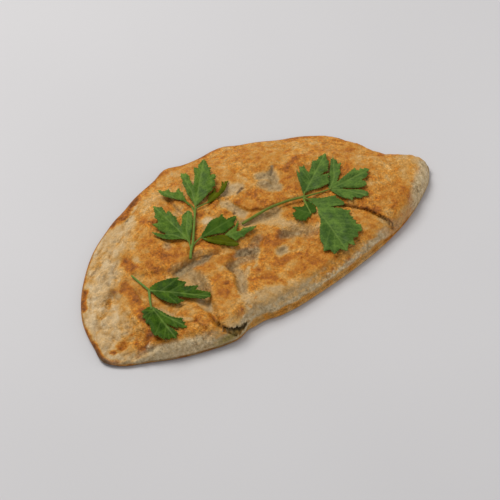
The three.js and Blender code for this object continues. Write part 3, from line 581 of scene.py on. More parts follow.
# ----------------------------------------------------------- painted browning and painted shade
# (kind, points, half width or shoulder, amount 0 pale .. 1 dark brown, strength)
PALE_END = [(-140, -64), (-140, 64), (-40, 64), (-42, 50), (-52, 43), (-57, 36), (-62, 30), (-72, 27), (-80, 20),
            (-84, 10), (-88, 2), (-95, -4), (-97, -18), (-98, -34), (-95, -44), (-98, -52), (-100, -64)]
BROWNING_AND_SHADE = [
    ("area", [(44, -12), (100, -70), (130, -30), (110, 30), (60, 60), (40, 20)], 12, 0.6, 0.8),
    ("area", [(40, 22), (120, 10), (110, 30), (60, 70), (-10, 70), (-20, 45), (10, 32)], 10, 0.53, 0.8),
    ("area", [(96, -24), (104, -60), (140, -50), (140, 0), (100, 20), (98, -8)], 8, 0.42, 0.9),
    ("area", PALE_END, 5, 0.07, 1.0),
    ("area", PADS[0][0], 1.4, 0.57, 0.95), ("spot", (-25.5, -18), (3.2, 2.6), 0.80, 0.8),
    ("area", PADS[1][0], 2.2, 0.68, 0.95),
    ("area", PADS[2][0], 4, 0.68, 0.9),
    ("area", PADS[3][0], 3.4, 0.61, 0.92),
    ("area", PADS[4][0], 6, 0.60, 0.9),
    ("area", PADS[5][0], 6, 0.60, 0.85),
    ("area", [(-101, -6), (-93, -6), (-90, -20), (-92, -40), (-97, -47), (-107, -45), (-104, -32), (-101, -18)], 7, 0.40, 0.85),
    ("area", [(-119, -34), (-110, -31), (-101, -32), (-98, -44), (-108, -46), (-119, -43)], 5, 0.50, 0.85),
    ("spot", (-89, 26), (7, 3.5), 0.28, 0.8), ("spot", (-70, 26), (6, 3), 0.40, 0.8), ("spot", (-103, 16), (4, 3), 0.26, 0.8),
    # painted shade: the lines (-113, -10)..(-103, -4.5) below the pillow and (-97, 24)..(-92, 22.5) brown the pale end
    # where shade falls
    ("spot", (-107, -12), (3, 2), 0.26, 0.7), ("line", [(-113, -10), (-107, -8.5), (-103, -4.5)], 2.4, 0.38, 0.85), ("line", [(-97, 24), (-92, 22.5)], 1.8, 0.36, 0.7), ("line", [(-88, 7), (-94, 4), (-97, -1)], 3, 0.34, 0.7),
    ("line", [(-88, 1), (-90, -5), (-90.5, -12), (-93, -24), (-95, -38), (-96, -47)], 3.6, 0.75, 0.92), ("spot", (-82.5, -18), (2.4, 4), 0.36, 0.8),
    # painted shade: the spot at (-96.6, 0.5) browns the hollow there, where shade falls in it
    ("spot", (-92, -1), (3, 2.2), 0.76, 0.8), ("line", [(-119, 0), (-115, 6), (-111, 10)], 2.4, 0.90, 0.95), ("spot", (-96.6, 0.5), (2.0, 3.0), 0.70, 0.8),
    ("line", [(-78, 14.5), (-77.3, 12), (-78.6, 9)], 2.5, 0.84, 0.95), ("spot", (-75, 8.5), (2, 1.8), 0.90, 0.9),
    ("spot", (-115.3, -36.2), (3.3, 3.3), 0.88, 1.0), ("spot", (-121.8, -36.8), (2.2, 2.2), 0.86, 0.95),
    ("spot", (-88, -12), (2.4, 4.4), 0.96, 0.9), ("spot", (-50, 34), (4, 5), 0.8, 0.8),
    ("spot", (-47, 30), (3, 3), 0.78, 0.8), ("spot", (-61, 27), (6, 2), 0.62, 0.8),
    ("line", [(-60, 19), (-57, 12), (-56, 5)], 4, 0.80, 0.85),
    ("line", [(-60, 0), (-72, -2)], 2.5, 0.8, 0.7), ("line", [(-64, 3), (-50, 0)], 3, 0.56, 0.6),
    ("line", [(-33, 1), (-27, -7)], 3, 0.8, 0.8),
    ("spot", (-105, -33), (2, 1.5), 0.7, 0.8), ("spot", (-112, -42), (3, 1.5), 0.5, 0.7), ("spot", (-105, -25), (4, 5), 0.34, 0.7),
    ("line", [(-112, -47), (-104, -45.5), (-97, -44.5)], 3.0, 0.76, 0.92), ("spot", (-110, -38.5), (3, 3), 0.58, 0.75),
    ("line", [(-100, -42), (-95, -44)], 2, 0.75, 0.8), ("spot", (-84, -52), (4, 3), 0.6, 0.8),
    ("line", [(-61, -51), (-61, -60)], 2.2, 0.75, 0.7),
    ("spot", (-38, -33.5), (3, 1.6), 0.85, 0.9), ("spot", (-44, -39), (4, 2.5), 0.74, 0.8),
    ("spot", (-43, -42), (3, 2), 0.7, 0.8), ("spot", (-40, -27), (4, 3), 0.66, 0.8),
    ("spot", (-53, -52), (4, 4), 0.42, 0.8), ("area", [(-46, -60), (-52, -56), (-60, -56), (-56, -68), (-46, -66)], 3, 0.26, 0.9),
    ("area", [(-42, -58), (-33, -49.5), (-20, -51), (-8, -56), (6, -61), (6, -74), (-46, -74)], 5, 0.20, 0.9),
    ("spot", (12, 3), (1.5, 1.5), 0.9, 0.8), ("spot", (19.5, 2), (2, 1.5), 0.85, 0.7),
    ("line", [(-20, 20), (-12, 23), (-5, 22)], 2.5, 0.7, 0.8),
    ("spot", (-18, -44.5), (3.5, 2.6), 0.80, 0.85), ("spot", (-22.5, -39), (3.2, 3), 0.50, 0.8), ("spot", (-8, -33), (4, 2.5), 0.76, 0.8),
    ("line", [(-8, -42), (4, -40.5), (12, -42)], 2.5, 0.76, 0.85), ("spot", (1, -46.5), (4.5, 2.4), 0.44, 0.8), ("spot", (5, -52), (4, 4), 0.80, 0.8), ("spot", (-6, -50.5), (4, 3), 0.36, 0.75),
    ("area", [(-6, -24), (0, -18), (9, -19), (13, -23), (12, -31), (2, -31)], 3, 0.80, 0.85), ("spot", (-10, -56), (2, 2), 0.7, 0.7),
    ("area", [(8, -8), (16, -9), (22, -14), (22, -22), (14, -20), (8, -14)], 4, 0.24, 0.8), ("spot", (36, -26), (3, 4), 0.78, 0.8), ("spot", (30.5, -35.5), (3, 3), 0.88, 0.85), ("spot", (20.5, 20), (4, 2.6), 0.66, 0.85),
    ("spot", (0, -19.5), (3.6, 1.8), 0.92, 0.85), ("spot", (-62, -5), (3, 2), 0.84, 0.85), ("spot", (-70, -45), (3, 3), 0.80, 0.8),
    ("spot", (34, -7), (5, 3), 0.78, 0.8), ("line", [(27, 9), (33, 4), (36, -2)], 1.6, 0.74, 0.8),
    ("area", [(96, -8), (104, -12), (118, -20), (118, -27), (104, -24), (96, -16)], 5, 0.48, 0.7), ("spot", (118, -28), (3, 4), 0.2, 0.8),
    ("line", [(60, 39), (72, 34), (86, 24), (94, 12), (98, 2)], 1.8, 0.70, 0.8), ("line", [(99, -2), (104, -9)], 2.4, 0.74, 0.85),
    ("line", [(-68, 43.5), (-58, 46), (-50, 51), (-38, 54)], 3.0, 0.86, 0.95), ("line", [(-38, 55), (-20, 60), (0, 59), (30, 57), (46, 50)], 2.0, 0.68, 0.8),
    ("spot", (-61, 28), (6, 2.2), 0.62, 0.8), ("line", [(-62, 12), (-56, 20)], 3.4, 0.70, 0.7),
    ("area", [(-48, 40), (-36, 42), (-28, 44), (-28, 52), (-44, 50)], 5, 0.28, 0.75), ("area", [(-76, 38), (-60, 43), (-55, 37), (-60, 30), (-68, 20), (-76, 22)], 4, 0.24, 0.8),
    ("spot", (-37.5, -56), (1.2, 2), 0.8, 0.7), ("spot", (-30, -54), (1.5, 1), 0.75, 0.7),
    ("area", [(84, -39), (101, -38), (102, -47), (90, -53), (80, -49)], 6, 0.66, 0.7), ("spot", (91, -48), (3, 3), 0.8, 0.7), ("spot", (82, -56), (1.5, 1.5), 0.85, 0.7),
    ("spot", (86, -53), (4, 2.6), 0.34, 0.7), ("spot", (80, -53), (1.5, 1.5), 0.8, 0.7), ("spot", (71, -53), (1.5, 2), 0.85, 0.7),
    ("spot", (97, -42), (2, 4), 0.72, 0.8), ("spot", (84, -35), (5, 4), 0.72, 0.8),
    ("spot", (101, -25), (4, 2), 0.7, 0.8), ("spot", (92, -17), (2, 2), 0.7, 0.8),
    ("spot", (35.5, 35), (3, 3), 0.76, 0.8), ("spot", (31.5, 38), (5, 3.4), 0.74, 0.8),
    ("spot", (25, 43), (3, 2), 0.68, 0.7), ("spot", (54, 20), (6, 2.5), 0.8, 0.8),
    ("spot", (48, 15), (4, 4), 0.8, 0.8), ("spot", (47.5, 36), (3, 2), 0.7, 0.7),
    ("spot", (70, 25), (2, 3), 0.7, 0.7), ("spot", (61, 30), (7, 4), 0.40, 0.75), ("spot", (79, 20), (4, 4), 0.48, 0.6), ("spot", (90, -4), (5, 7), 0.38, 0.75), ("spot", (42, 10), (3, 2), 0.75, 0.8),
    ("area", [(30, -3), (47, -3), (47, 12), (30, 12)], 5, 0.68, 0.7),
]
# grey of unbrowned dough in the valleys, and painted shade darkening hollows and creases and the bread under the leaf
# at (-50, 10)
GREY_AND_SHADE = [   # (points, half width, amount)
    ([(-19, -21), (-14, -23), (-9, -24)], 3.6, 1.0), ([(-8, -21), (-2, -18)], 3.0, 0.55), ([(-28, -25), (-20, -26.5), (-12, -28)], 3, 0.75),
    ([(-28, -28), (-27, -33), (-30, -39), (-33, -44)], 2.8, 0.5),
    ([(-57, -13), (-50, -17), (-50, -25), (-52.5, -30)], 4.5, 0.6), ([(-55, -34), (-58, -45)], 3, 0.25),
    ([(-60, -7), (-50, -8)], 2.5, 0.45), ([(13, -25), (16, -28)], 3.6, 0.7), ([(18, -27), (22, -28), (26, -33)], 4.8, 0.5), ([(-42, -6), (-37, -6)], 2.2, 0.5),
    ([(4, -34.5)], 3.4, 0.75), ([(-3, 18), (1, 10), (3, 3)], 2.6, 0.35), ([(5, 24), (14, 22)], 3, 0.12),
    ([(9, 23)], 2.4, 0.15), ([(27, 15), (33, 8), (36, 18), (30, 22)], 3.8, 0.7), ([(36, 19), (41, 24)], 1.3, 0.9),
    # painted shadow: (-50, 10) darkens the bread under a leaf's left lobe
    ([(-1, -3), (10, -6), (18, -8), (21, -5)], 3, 0.55), ([(-72, 13)], 2.2, 0.2), ([(-50, 10)], 3, 0.6),
    # painted shade in the hollow at (-97, 0)
    ([(-97, 0)], 2.4, 0.40),
    # painted shade: (-57, -12)..(-36, -12) darkens the zone below the crease above the strip
    ([(-57, -12), (-46, -11.5), (-36, -12)], 2.4, 0.95), ([(-55, -16), (-52, -24)], 3.4, 0.35),
    ([(-44, -60), (-30, -61), (-14, -62)], 5, 0.28), ([(24, -30), (30, -35)], 3.4, 0.35),
    ([(-36, -56), (-26, -54.5), (-14, -58.5)], 3.5, 0.30), ([(70, -52), (74, -60)], 3.0, 0.35),
]
CREAM_AND_LIGHT = [  # pale dough in and beside the valleys, with a painted highlight and painted light in two places
    ([(-28, -28), (-27, -33), (-30, -39), (-33, -44), (-37, -51)], 3.4, 0.8),
    ([(-58, -20), (-52, -22)], 4.0, 0.6), ([(-3, 18), (1, 10), (3, 3)], 3.6, 0.8), ([(4, 24), (14, 23)], 3.8, 0.92),
    ([(27, 15), (33, 8), (36, 18), (30, 22)], 4.6, 0.75), ([(-18.5, 12.5)], 3.8, 1.0), ([(-24.5, 31)], 2.2, 0.6), ([(10, -8), (16, -13), (22, -20)], 4, 0.6),
    ([(-84, -25), (-79, -33), (-76, -40), (-71, -45)], 1.8, 0.6), ([(4, -34.5)], 4.2, 0.8), ([(20, -29.5)], 2, 0.9),
    ([(-18, -34.5), (-12, -31), (-8, -28)], 1.2, 0.6), ([(18, -23), (24, -27), (29, -33)], 5, 0.5),
    ([(-72, 13)], 2.4, 0.6), ([(-1, -4), (10, -7), (20, -8)], 4.4, 0.5), ([(-62, -14), (-55, -14), (-50, -18), (-50, -26)], 5, 0.5),
    # painted highlight: the line (-31, -43)..(-21, -33) lights the pad's upper-left edge
    ([(-48, -66), (-55, -63)], 3.0, 0.7), ([(-31, -43), (-26, -38), (-21, -33)], 1.4, 0.75),
    # painted light: (-58.5, -37)..(-57.5, -44) lightens the bread where a leaf tip shades it
    ([(-58.5, -37), (-57.5, -44)], 2.8, 0.85), ([(-70, 37), (-63, 39)], 5, 0.5), ([(110, -21), (117, -25)], 4, 0.35),
]
SHADE_AND_BURNT = [   # painted shade in creases, hollows, valleys, the crack and the start of the tear; the spots at (-58.5, 41.5) and (-1.5, 7) and the band near (-85, -9) are dark marks
    ([(-60, -10), (-52, -9), (-43, -7.7), (-36, -9.6), (-31, -11.6), (-29, -13)], 0.75, 0.36), ([(-47, -10.8), (-41, -11.6), (-34, -12.6)], 1.6, 0.40),
    ([(-60.5, -53), (-60.3, -57), (-58.6, -60)], 0.8, 0.6),
    ([(10, 18.8), (15, 21)], 0.7, 0.8), ([(-58.5, 41.5)], 0.8, 0.8), ([(-1.5, 7)], 1.0, 0.85),
    ([(36, 19), (41, 24)], 0.9, 0.5),
    ([(-74, -45), (-69, -47), (-68, -55)], 0.6, 0.35), ([(-59.5, -50), (-60, -57)], 0.6, 0.4),
    ([(-18, -20.5), (-13, -22.5)], 2.2, 0.22), ([(12, -23), (14.5, -25), (16, -28)], 2.6, 0.36), ([(18, -29.5), (22, -31), (29, -36)], 1.8, 0.16), ([(-3, -19), (2, -20)], 1.6, 0.2), ([(14, -24.5), (16, -27)], 0.9, 0.36),
    ([(-85, -6), (-86, -12)], 1.5, 0.3),
    # painted shade, on these three lines: below the pillow, in the hollows at (-97, 0), (-95, -4) and (-91, -1), along
    # the folds and streaks of the pale end, in the crease at (-27, 34), at the crack's upper end near (60, -30), and
    # below the fold's shoulder at (-104, -48)
    ([(-101.5, -1), (-105, -5), (-108.5, -7.5)], 2.2, 0.20), ([(-96.8, 2.5), (-97.2, -2.5)], 1.6, 0.34), ([(-105, 6.5), (-99, 10.5), (-94, 11.5), (-92.5, 16)], 0.9, 0.16), ([(-27, 41), (-28, 34), (-27.5, 27)], 0.9, 0.45), ([(56, -27), (60, -30.5), (62.5, -34)], 1.5, 0.42), ([(-95, -4)], 1.6, 0.22),
    ([(-96, 6), (-92, 13), (-87, 12)], 1.2, 0.18), ([(-111, 5), (-106, 1)], 1.1, 0.22),
    ([(-86, 17), (-80, 20), (-74, 16)], 1.2, 0.22), ([(-91, -1), (-86, 3)], 1.8, 0.26), ([(-112, -48), (-104, -47.5), (-96, -48.5)], 1.2, 0.34),
]


def in_tear(p):
    """1 on the tear's cut faces, fading at its mouth"""
    keys = np.array(TEAR)
    a = keys[-1, :2] - keys[0, :2]
    length = np.hypot(*a)
    m = np.linalg.inv(np.stack([a / length, TEAR_INWARD], -1))
    s, d = m @ (p[:, :2] - keys[0, :2]).T
    ks, kd = m @ (keys[:, :2] - keys[0, :2]).T
    d = d - np.interp(s, ks, kd)
    u = (d + 4) / (TEAR_DEPTH + 4)
    half = np.interp(s, ks, keys[:, 3]) / 2 * (1 - 0.65 * u) * (1 + FLARE * np.maximum(0, -d) / 4)
    off = np.abs(p[:, 2] - np.interp(s, ks, keys[:, 2]) + u)
    half = np.maximum(half, 0.2)
    return smooth(-0.8, 0.8, d) * (1 - smooth(TEAR_DEPTH, TEAR_DEPTH + 1, d)) * (1 - smooth(1.3, 1.7, off / (half + 0.2))) * smooth(-0.6, 0.2, s) * (1 - smooth(length - 0.2, length + 0.6, s))


def paint(p, wall):
    """browning, greyness, painted shade and the like at points of the bread, from where they look to be"""
    h = p[:, 2]
    u, v = seen(p[:, 0], p[:, 1], h)
    q = p * (1, 1, 0.6)
    wu = u + 1.5 * noise(q, 7, 11) + 0.7 * noise(q, 2.6, 12)
    wv = v + 1.5 * noise(q, 7, 13) + 0.7 * noise(q, 2.6, 14)
    browning_and_shade = 0.52 + 0.10 * noise(q, 16, 15)
    for kind, where, size, amount, strength in BROWNING_AND_SHADE:
        if kind == "area":
            m = smooth(-size / 2, size / 2, inside(where, wu, wv))
        elif kind == "line":
            m = 1 - smooth(size * 0.55, size * 1.3, distance(where, wu, wv))
        else:
            m = 1 - smooth(0.55, 1.3, np.hypot((wu - where[0]) / size[0], (wv - where[1]) / size[1]))
        browning_and_shade = mix(browning_and_shade, amount, m * strength)
    cream_and_light = np.zeros(len(u))
    for where, half, amount in CREAM_AND_LIGHT:
        cream_and_light = np.maximum(cream_and_light, amount * (1 - smooth(half * 0.5, half * 1.35, distance(where, wu, wv))))
    grey_and_shade = np.zeros(len(u))
    for where, half, amount in GREY_AND_SHADE:
        grey_and_shade = np.maximum(grey_and_shade, amount * (1 - smooth(half * 0.5, half * 1.35, distance(where, wu, wv))))
    shade_and_burnt = np.zeros(len(u))
    for where, half, amount in SHADE_AND_BURNT:
        shade_and_burnt = np.maximum(shade_and_burnt, amount * (1 - smooth(half * 0.6, half * 1.6, distance(where, u + 0.3 * noise(q, 2, 16), v + 0.3 * noise(q, 2, 17)))))
    # the crack is darkened inside with painted shade, and painted shade browns a band beside it, wider on its far side
    away, side, share = off_crack(u, v)
    shade_and_burnt = np.maximum(shade_and_burnt, share * 0.92 * np.exp(-(away / 0.5) ** 2) * smooth(3, 6, h))
    browning_and_shade = browning_and_shade + share * (0.30 * (side > 0) * np.exp(-(away / 2.6) ** 2) + 0.12 * (side < 0) * np.exp(-(away / 1.4) ** 2))
    # painted shade: the creases between the pale end's folds are darkened and browned where shade falls in them
    _, crease = folds(p)
    crease = crease * smooth(-3, 3, inside(PALE_END, u, v))
    shade_and_burnt = np.maximum(shade_and_burnt, 0.08 * crease)
    browning_and_shade = browning_and_shade + 0.20 * crease
    to_rim, to_fold = distance(RIM_LINE, p[:, 0], p[:, 1]), distance(FOLD_LINE, p[:, 0], p[:, 1])
    # mottling, stronger where it is brown
    browning_and_shade = browning_and_shade + (0.06 + 0.12 * smooth(0.2, 0.5, browning_and_shade)) * fbm(q, 8, 18, 3, 0.4)
    browning_and_shade = mix(browning_and_shade, 0.08, np.clip(cream_and_light, 0, 1))
    # the standing wall of the fold stayed off the pan: pale and grey-speckled
    x = p[:, 0]
    broad = np.clip((lip_width(x) - 0.35) / 0.95, 0, 1)
    pale = wall * (1 - smooth(6.5, 9.5, to_fold)) * (1 - smooth(9.6, 12.4, h + 1.2 * noise(q, 6, 22)))
    left = (1 - smooth(4.4, 6.8, to_fold + 1.2 * noise(q, 5, 33))) * (1 - smooth(-76, -60, x)) * mix(0.35, 1.0, smooth(-112, -92, x))
    right = (1 - smooth(mix(2.2, 5.2, smooth(92, 106, x)), mix(5.2, 9.5, smooth(92, 106, x)), to_fold + 1.0 * noise(q, 5, 35))) * smooth(88, 102, x)
    pale = np.maximum(pale, np.maximum(left, right)) * smooth(1.0, 1.8, h)
    # past the crack the wall is browned almost to its foot
    brown = smooth(62, 72, x) * (1 - smooth(88, 98, x))
    browning_and_shade = mix(browning_and_shade, 0.50 + 0.16 * noise(q, 6, 36), 0.7 * brown * np.clip(pale, 0, 1))
    pale *= 1 - 0.72 * brown
    # browned lip along the foot of the fold, and the browned edge of the rim
    upper = mix(1.5, 5.2, broad) * (1 - 0.9 * smooth(84, 96, x)) + 0.7 * noise(q, 5, 25)
    lip = (1 - smooth(upper, upper + 1.6, h)) * (1 - smooth(3.4, 5.0, to_fold)) * smooth(0.1, 0.5, h + 0.6 * (1 - smooth(84, 96, x)))
    browning_and_shade = mix(browning_and_shade, mix(0.62, 0.40, broad) + 0.14 * noise(q, 5, 26), lip)
    grey_and_shade *= 1 - lip
    pale *= 1 - lip
    edge = 1 - smooth(0.4, 1.9 + 0.7 * noise(q, 12, 27), to_rim)
    edge *= 1 - smooth(104, 112, x)
    browning_and_shade = mix(browning_and_shade, 0.72 + 0.12 * noise(q, 4, 28), edge * 0.9)
    line = (1 - smooth(0.6, 1.7, to_rim + 0.35 * noise(q, 4, 34))) * (1 - smooth(104, 112, x))
    shade_and_burnt = np.maximum(shade_and_burnt, 0.36 * line)
    foot = (1 - smooth(0.6, 1.7, to_fold)) * (1 - smooth(-62, -50, x)) * (1 - smooth(2.0, 3.6, h))
    shade_and_burnt = np.maximum(shade_and_burnt, 0.46 * foot)
    burnt = np.exp(-((p[:, 0] + 125) / 9) ** 2 - ((p[:, 1] + 30) / 15) ** 2)
    near = np.minimum(to_rim, to_fold)
    browning_and_shade = mix(browning_and_shade, 0.94, burnt * (1 - smooth(1.6, 3.4, near)))
    shade_and_burnt = np.maximum(shade_and_burnt, 0.84 * burnt * (1 - smooth(0.8, 2.2, near)))
    # green juice of the filling round the tear
    at = np.exp(-((u + 61) / 9) ** 2 - ((v + 68.5) / 2.6) ** 2)
    herb = np.clip(at * 1.2, 0, 1) * smooth(0.5, 1.5, h)
    # the tear's cut faces are stained green, and painted shade darkens them as the inside of the opening
    cut = in_tear(p)
    herb, shade_and_burnt = np.maximum(herb, cut), np.maximum(shade_and_burnt, 0.86 * cut)
    # the underside is browned like the top
    low = 1 - smooth(0.2, 1.0, h)
    browning_and_shade = mix(browning_and_shade, 0.55 + 0.28 * fbm(q, 14, 29, 3) + 0.1 * noise(q, 3, 30), low)
    grey_and_shade *= 1 - low
    pale *= 1 - low
    return browning_and_shade, np.clip(grey_and_shade, 0, 1), np.clip(shade_and_burnt, 0, 1), np.clip(herb, 0, 1), np.clip(pale, 0, 1)


def refine(obj, paths, reach):
    """cells a third as wide near thin lines of the top"""
    import bmesh
    bm = bmesh.new()
    bm.from_mesh(obj.data)
    before = len(bm.verts)
    centre = np.array([tuple(f.calc_center_median()) for f in bm.faces]) / MM - CENTRE_SHIFT
    up = np.array([f.normal.z for f in bm.faces])
    u, v = seen(centre[:, 0], centre[:, 1], centre[:, 2])
    near = np.min([distance(path, u, v) for path in paths], axis=0) < reach
    bm.faces.ensure_lookup_table()
    edges = {e for k in np.nonzero(near & (up > 0.2) & (centre[:, 2] > 6))[0] for e in bm.faces[int(k)].edges}
    bmesh.ops.subdivide_edges(bm, edges=list(edges), cuts=2, use_grid_fill=True)
    bmesh.ops.triangulate(bm, faces=bm.faces[:])
    bm.to_mesh(obj.data)
    bm.free()
    p = coordinates(obj)
    p[before:, 2] = top_height(p[before:, 0], p[before:, 1])
    place(obj, p)


def make_bread():
    vertices, faces = bread_outer()
    obj = make_mesh("bread_browned", vertices, faces)
    if volume(obj) < 0:
        obj.data.flip_normals()
    refine(obj, [CRACK[:-2], VALLEYS[0][0]], 1.5)
    p, n = coordinates(obj), normals(obj)
    x, y, h = p.T
    to_rim, to_fold = distance(RIM_LINE, x, y), distance(FOLD_LINE, x, y)
    above = smooth(0.9, 2.4, h)
    edge = smooth(0.0, 3.0, np.minimum(to_rim, to_fold + 2.0))
    u, v = seen(x, y, h)
    pale = smooth(-3, 3, inside(PALE_END, u, v))
    # the relief of the dough: broad sag, wrinkles, small blisters
    d = mix(0.55, 0.75, pale) * fbm(p, 15, 41, 2) + mix(0.36, 0.66, pale) * fbm(p, 6.5, 43, 3)
    d -= mix(0.30, 0.75, pale) * (1 - np.abs(noise(p, 8.5, 45)) * 2.6).clip(0, 1) ** 3
    high, crease = folds(p)
    d += pale * (0.95 * high - 1.0 * crease)
    d += mix(1.0, 0.6, pale) * (0.23 * noise(p, 2.1, 46) + 0.12 * noise(p, 1.25, 47))
    blister = (noise(p, 3.4, 48) - 0.42).clip(0, 1)
    d += 1.2 * blister * mix(0.6, 1.0, pale)
    wall = 1 - smooth(0.45, 0.85, n[:, 2])
    d += wall * (0.30 * noise(p, 2.6, 49) + 0.14 * noise(p, 1.4, 50))
    d *= above * mix(0.35, 1.0, edge)
    # small at the sharp edges, where it would fold the surface over itself
    nearest = np.minimum(to_rim, to_fold)
    most = mix(0.02, 2.2, np.maximum(smooth(0.8, 4.2, nearest), 0.15 * smooth(3.0, 5.0, h) * smooth(0.1, 0.6, nearest)))
    d = np.clip(d, -most, most)
    # it lifts the top straight up, and pushes outwards only close to the edge
    outward = 1 - smooth(2.6, 5.5, nearest)
    p2 = p.copy()
    p2[:, :2] += n[:, :2] * (d * outward)[:, None]
    p2[:, 2] += d * mix(1.0, n[:, 2], outward)
    # the end of the flap hangs over the tear, a lip stands out under it
    mouth = np.array(TEAR)
    reach = distance(mouth[:, :2], x, y)
    level = np.interp(x, mouth[:, 0], mouth[:, 2])
    near = np.exp(-(reach / 3.6) ** 2) * smooth(-61, -57, x) * (1 - smooth(-47, -43, x))
    over = 1.2 * near * smooth(0.6, 2.4, h - level)
    lower = 1.0 * near * (1 - smooth(-3.4, -1.2, h - level)) * above
    p2[:, 0] -= TEAR_INWARD[0] * (over + 0.6 * lower)
    p2[:, 1] -= TEAR_INWARD[1] * (over + lower)
    # nothing under the table, the underside a little uneven
    under = h < 0.9
    p2[under, 2] = h[under] + 0.28 * np.clip(fbm(p[under], 9, 51, 3) + 0.3, 0, 1) * smooth(0.0, 6.0, to_fold[under])
    p2[:, 2] = np.maximum(p2[:, 2], 0.0)
    place(obj, p2)
    roof = roof_over(p2, normals(obj))
    cavity = inner_solid(0, "cavity", roof)
    if volume(cavity) < 0:
        cavity.data.flip_normals()
    combine(obj, cavity, "DIFFERENCE")
    combine(obj, tear_wedge(0, -4, "tear"), "DIFFERENCE")
    shade_smooth(obj)
    p, n = coordinates(obj), normals(obj)
    wall = 1 - smooth(0.50, 0.85, n[:, 2])
    for name, values in zip(("browning_and_shade", "grey_and_shade", "shade_and_burnt", "herb", "wall"), paint(p, wall)):
        attribute(obj, name, values)
    return obj, roof


def make_filling(roof):
    obj = inner_solid(GAP, "herb_filling", roof, 96, 60, 7.0)
    if volume(obj) < 0:
        obj.data.flip_normals()
    # the part that shows in the tear, its surface rough with herbs
    plug = tear_wedge(GAP, 2.6, "plug")
    sub = plug.modifiers.new("fine", "REMESH")
    sub.mode, sub.voxel_size = "VOXEL", 0.35 * MM
    bpy.context.view_layer.update()
    mesh = bpy.data.meshes.new_from_object(plug.evaluated_get(bpy.context.evaluated_depsgraph_get()))
    old = plug.data
    plug.modifiers.clear()
    plug.data = mesh
    bpy.data.meshes.remove(old)
    p, n = coordinates(plug), normals(plug)
    p -= n * (0.12 + 0.24 * np.abs(noise(p, 1.6, 61)) + 0.12 * np.abs(noise(p, 4, 62)))[:, None]
    place(plug, p)
    combine(obj, plug, "UNION")
    shade_smooth(obj)
    return obj


# ------------------------------------------------------------------ parsley
# Outlines of leaflets as they look on the plane at PLANE mm: (x, y, kind), kind
# t a lobe's tip, n a notch between lobes, s a smooth point.  "veins" run from the
# base to the tips.
def pts(text):
    out = []
    for item in text.split():
        kind = item[-1] if item[-1] in "tns" else "s"
        x, y = item.rstrip("tns").split(",")
        out.append((float(x), float(y), kind))
    return out
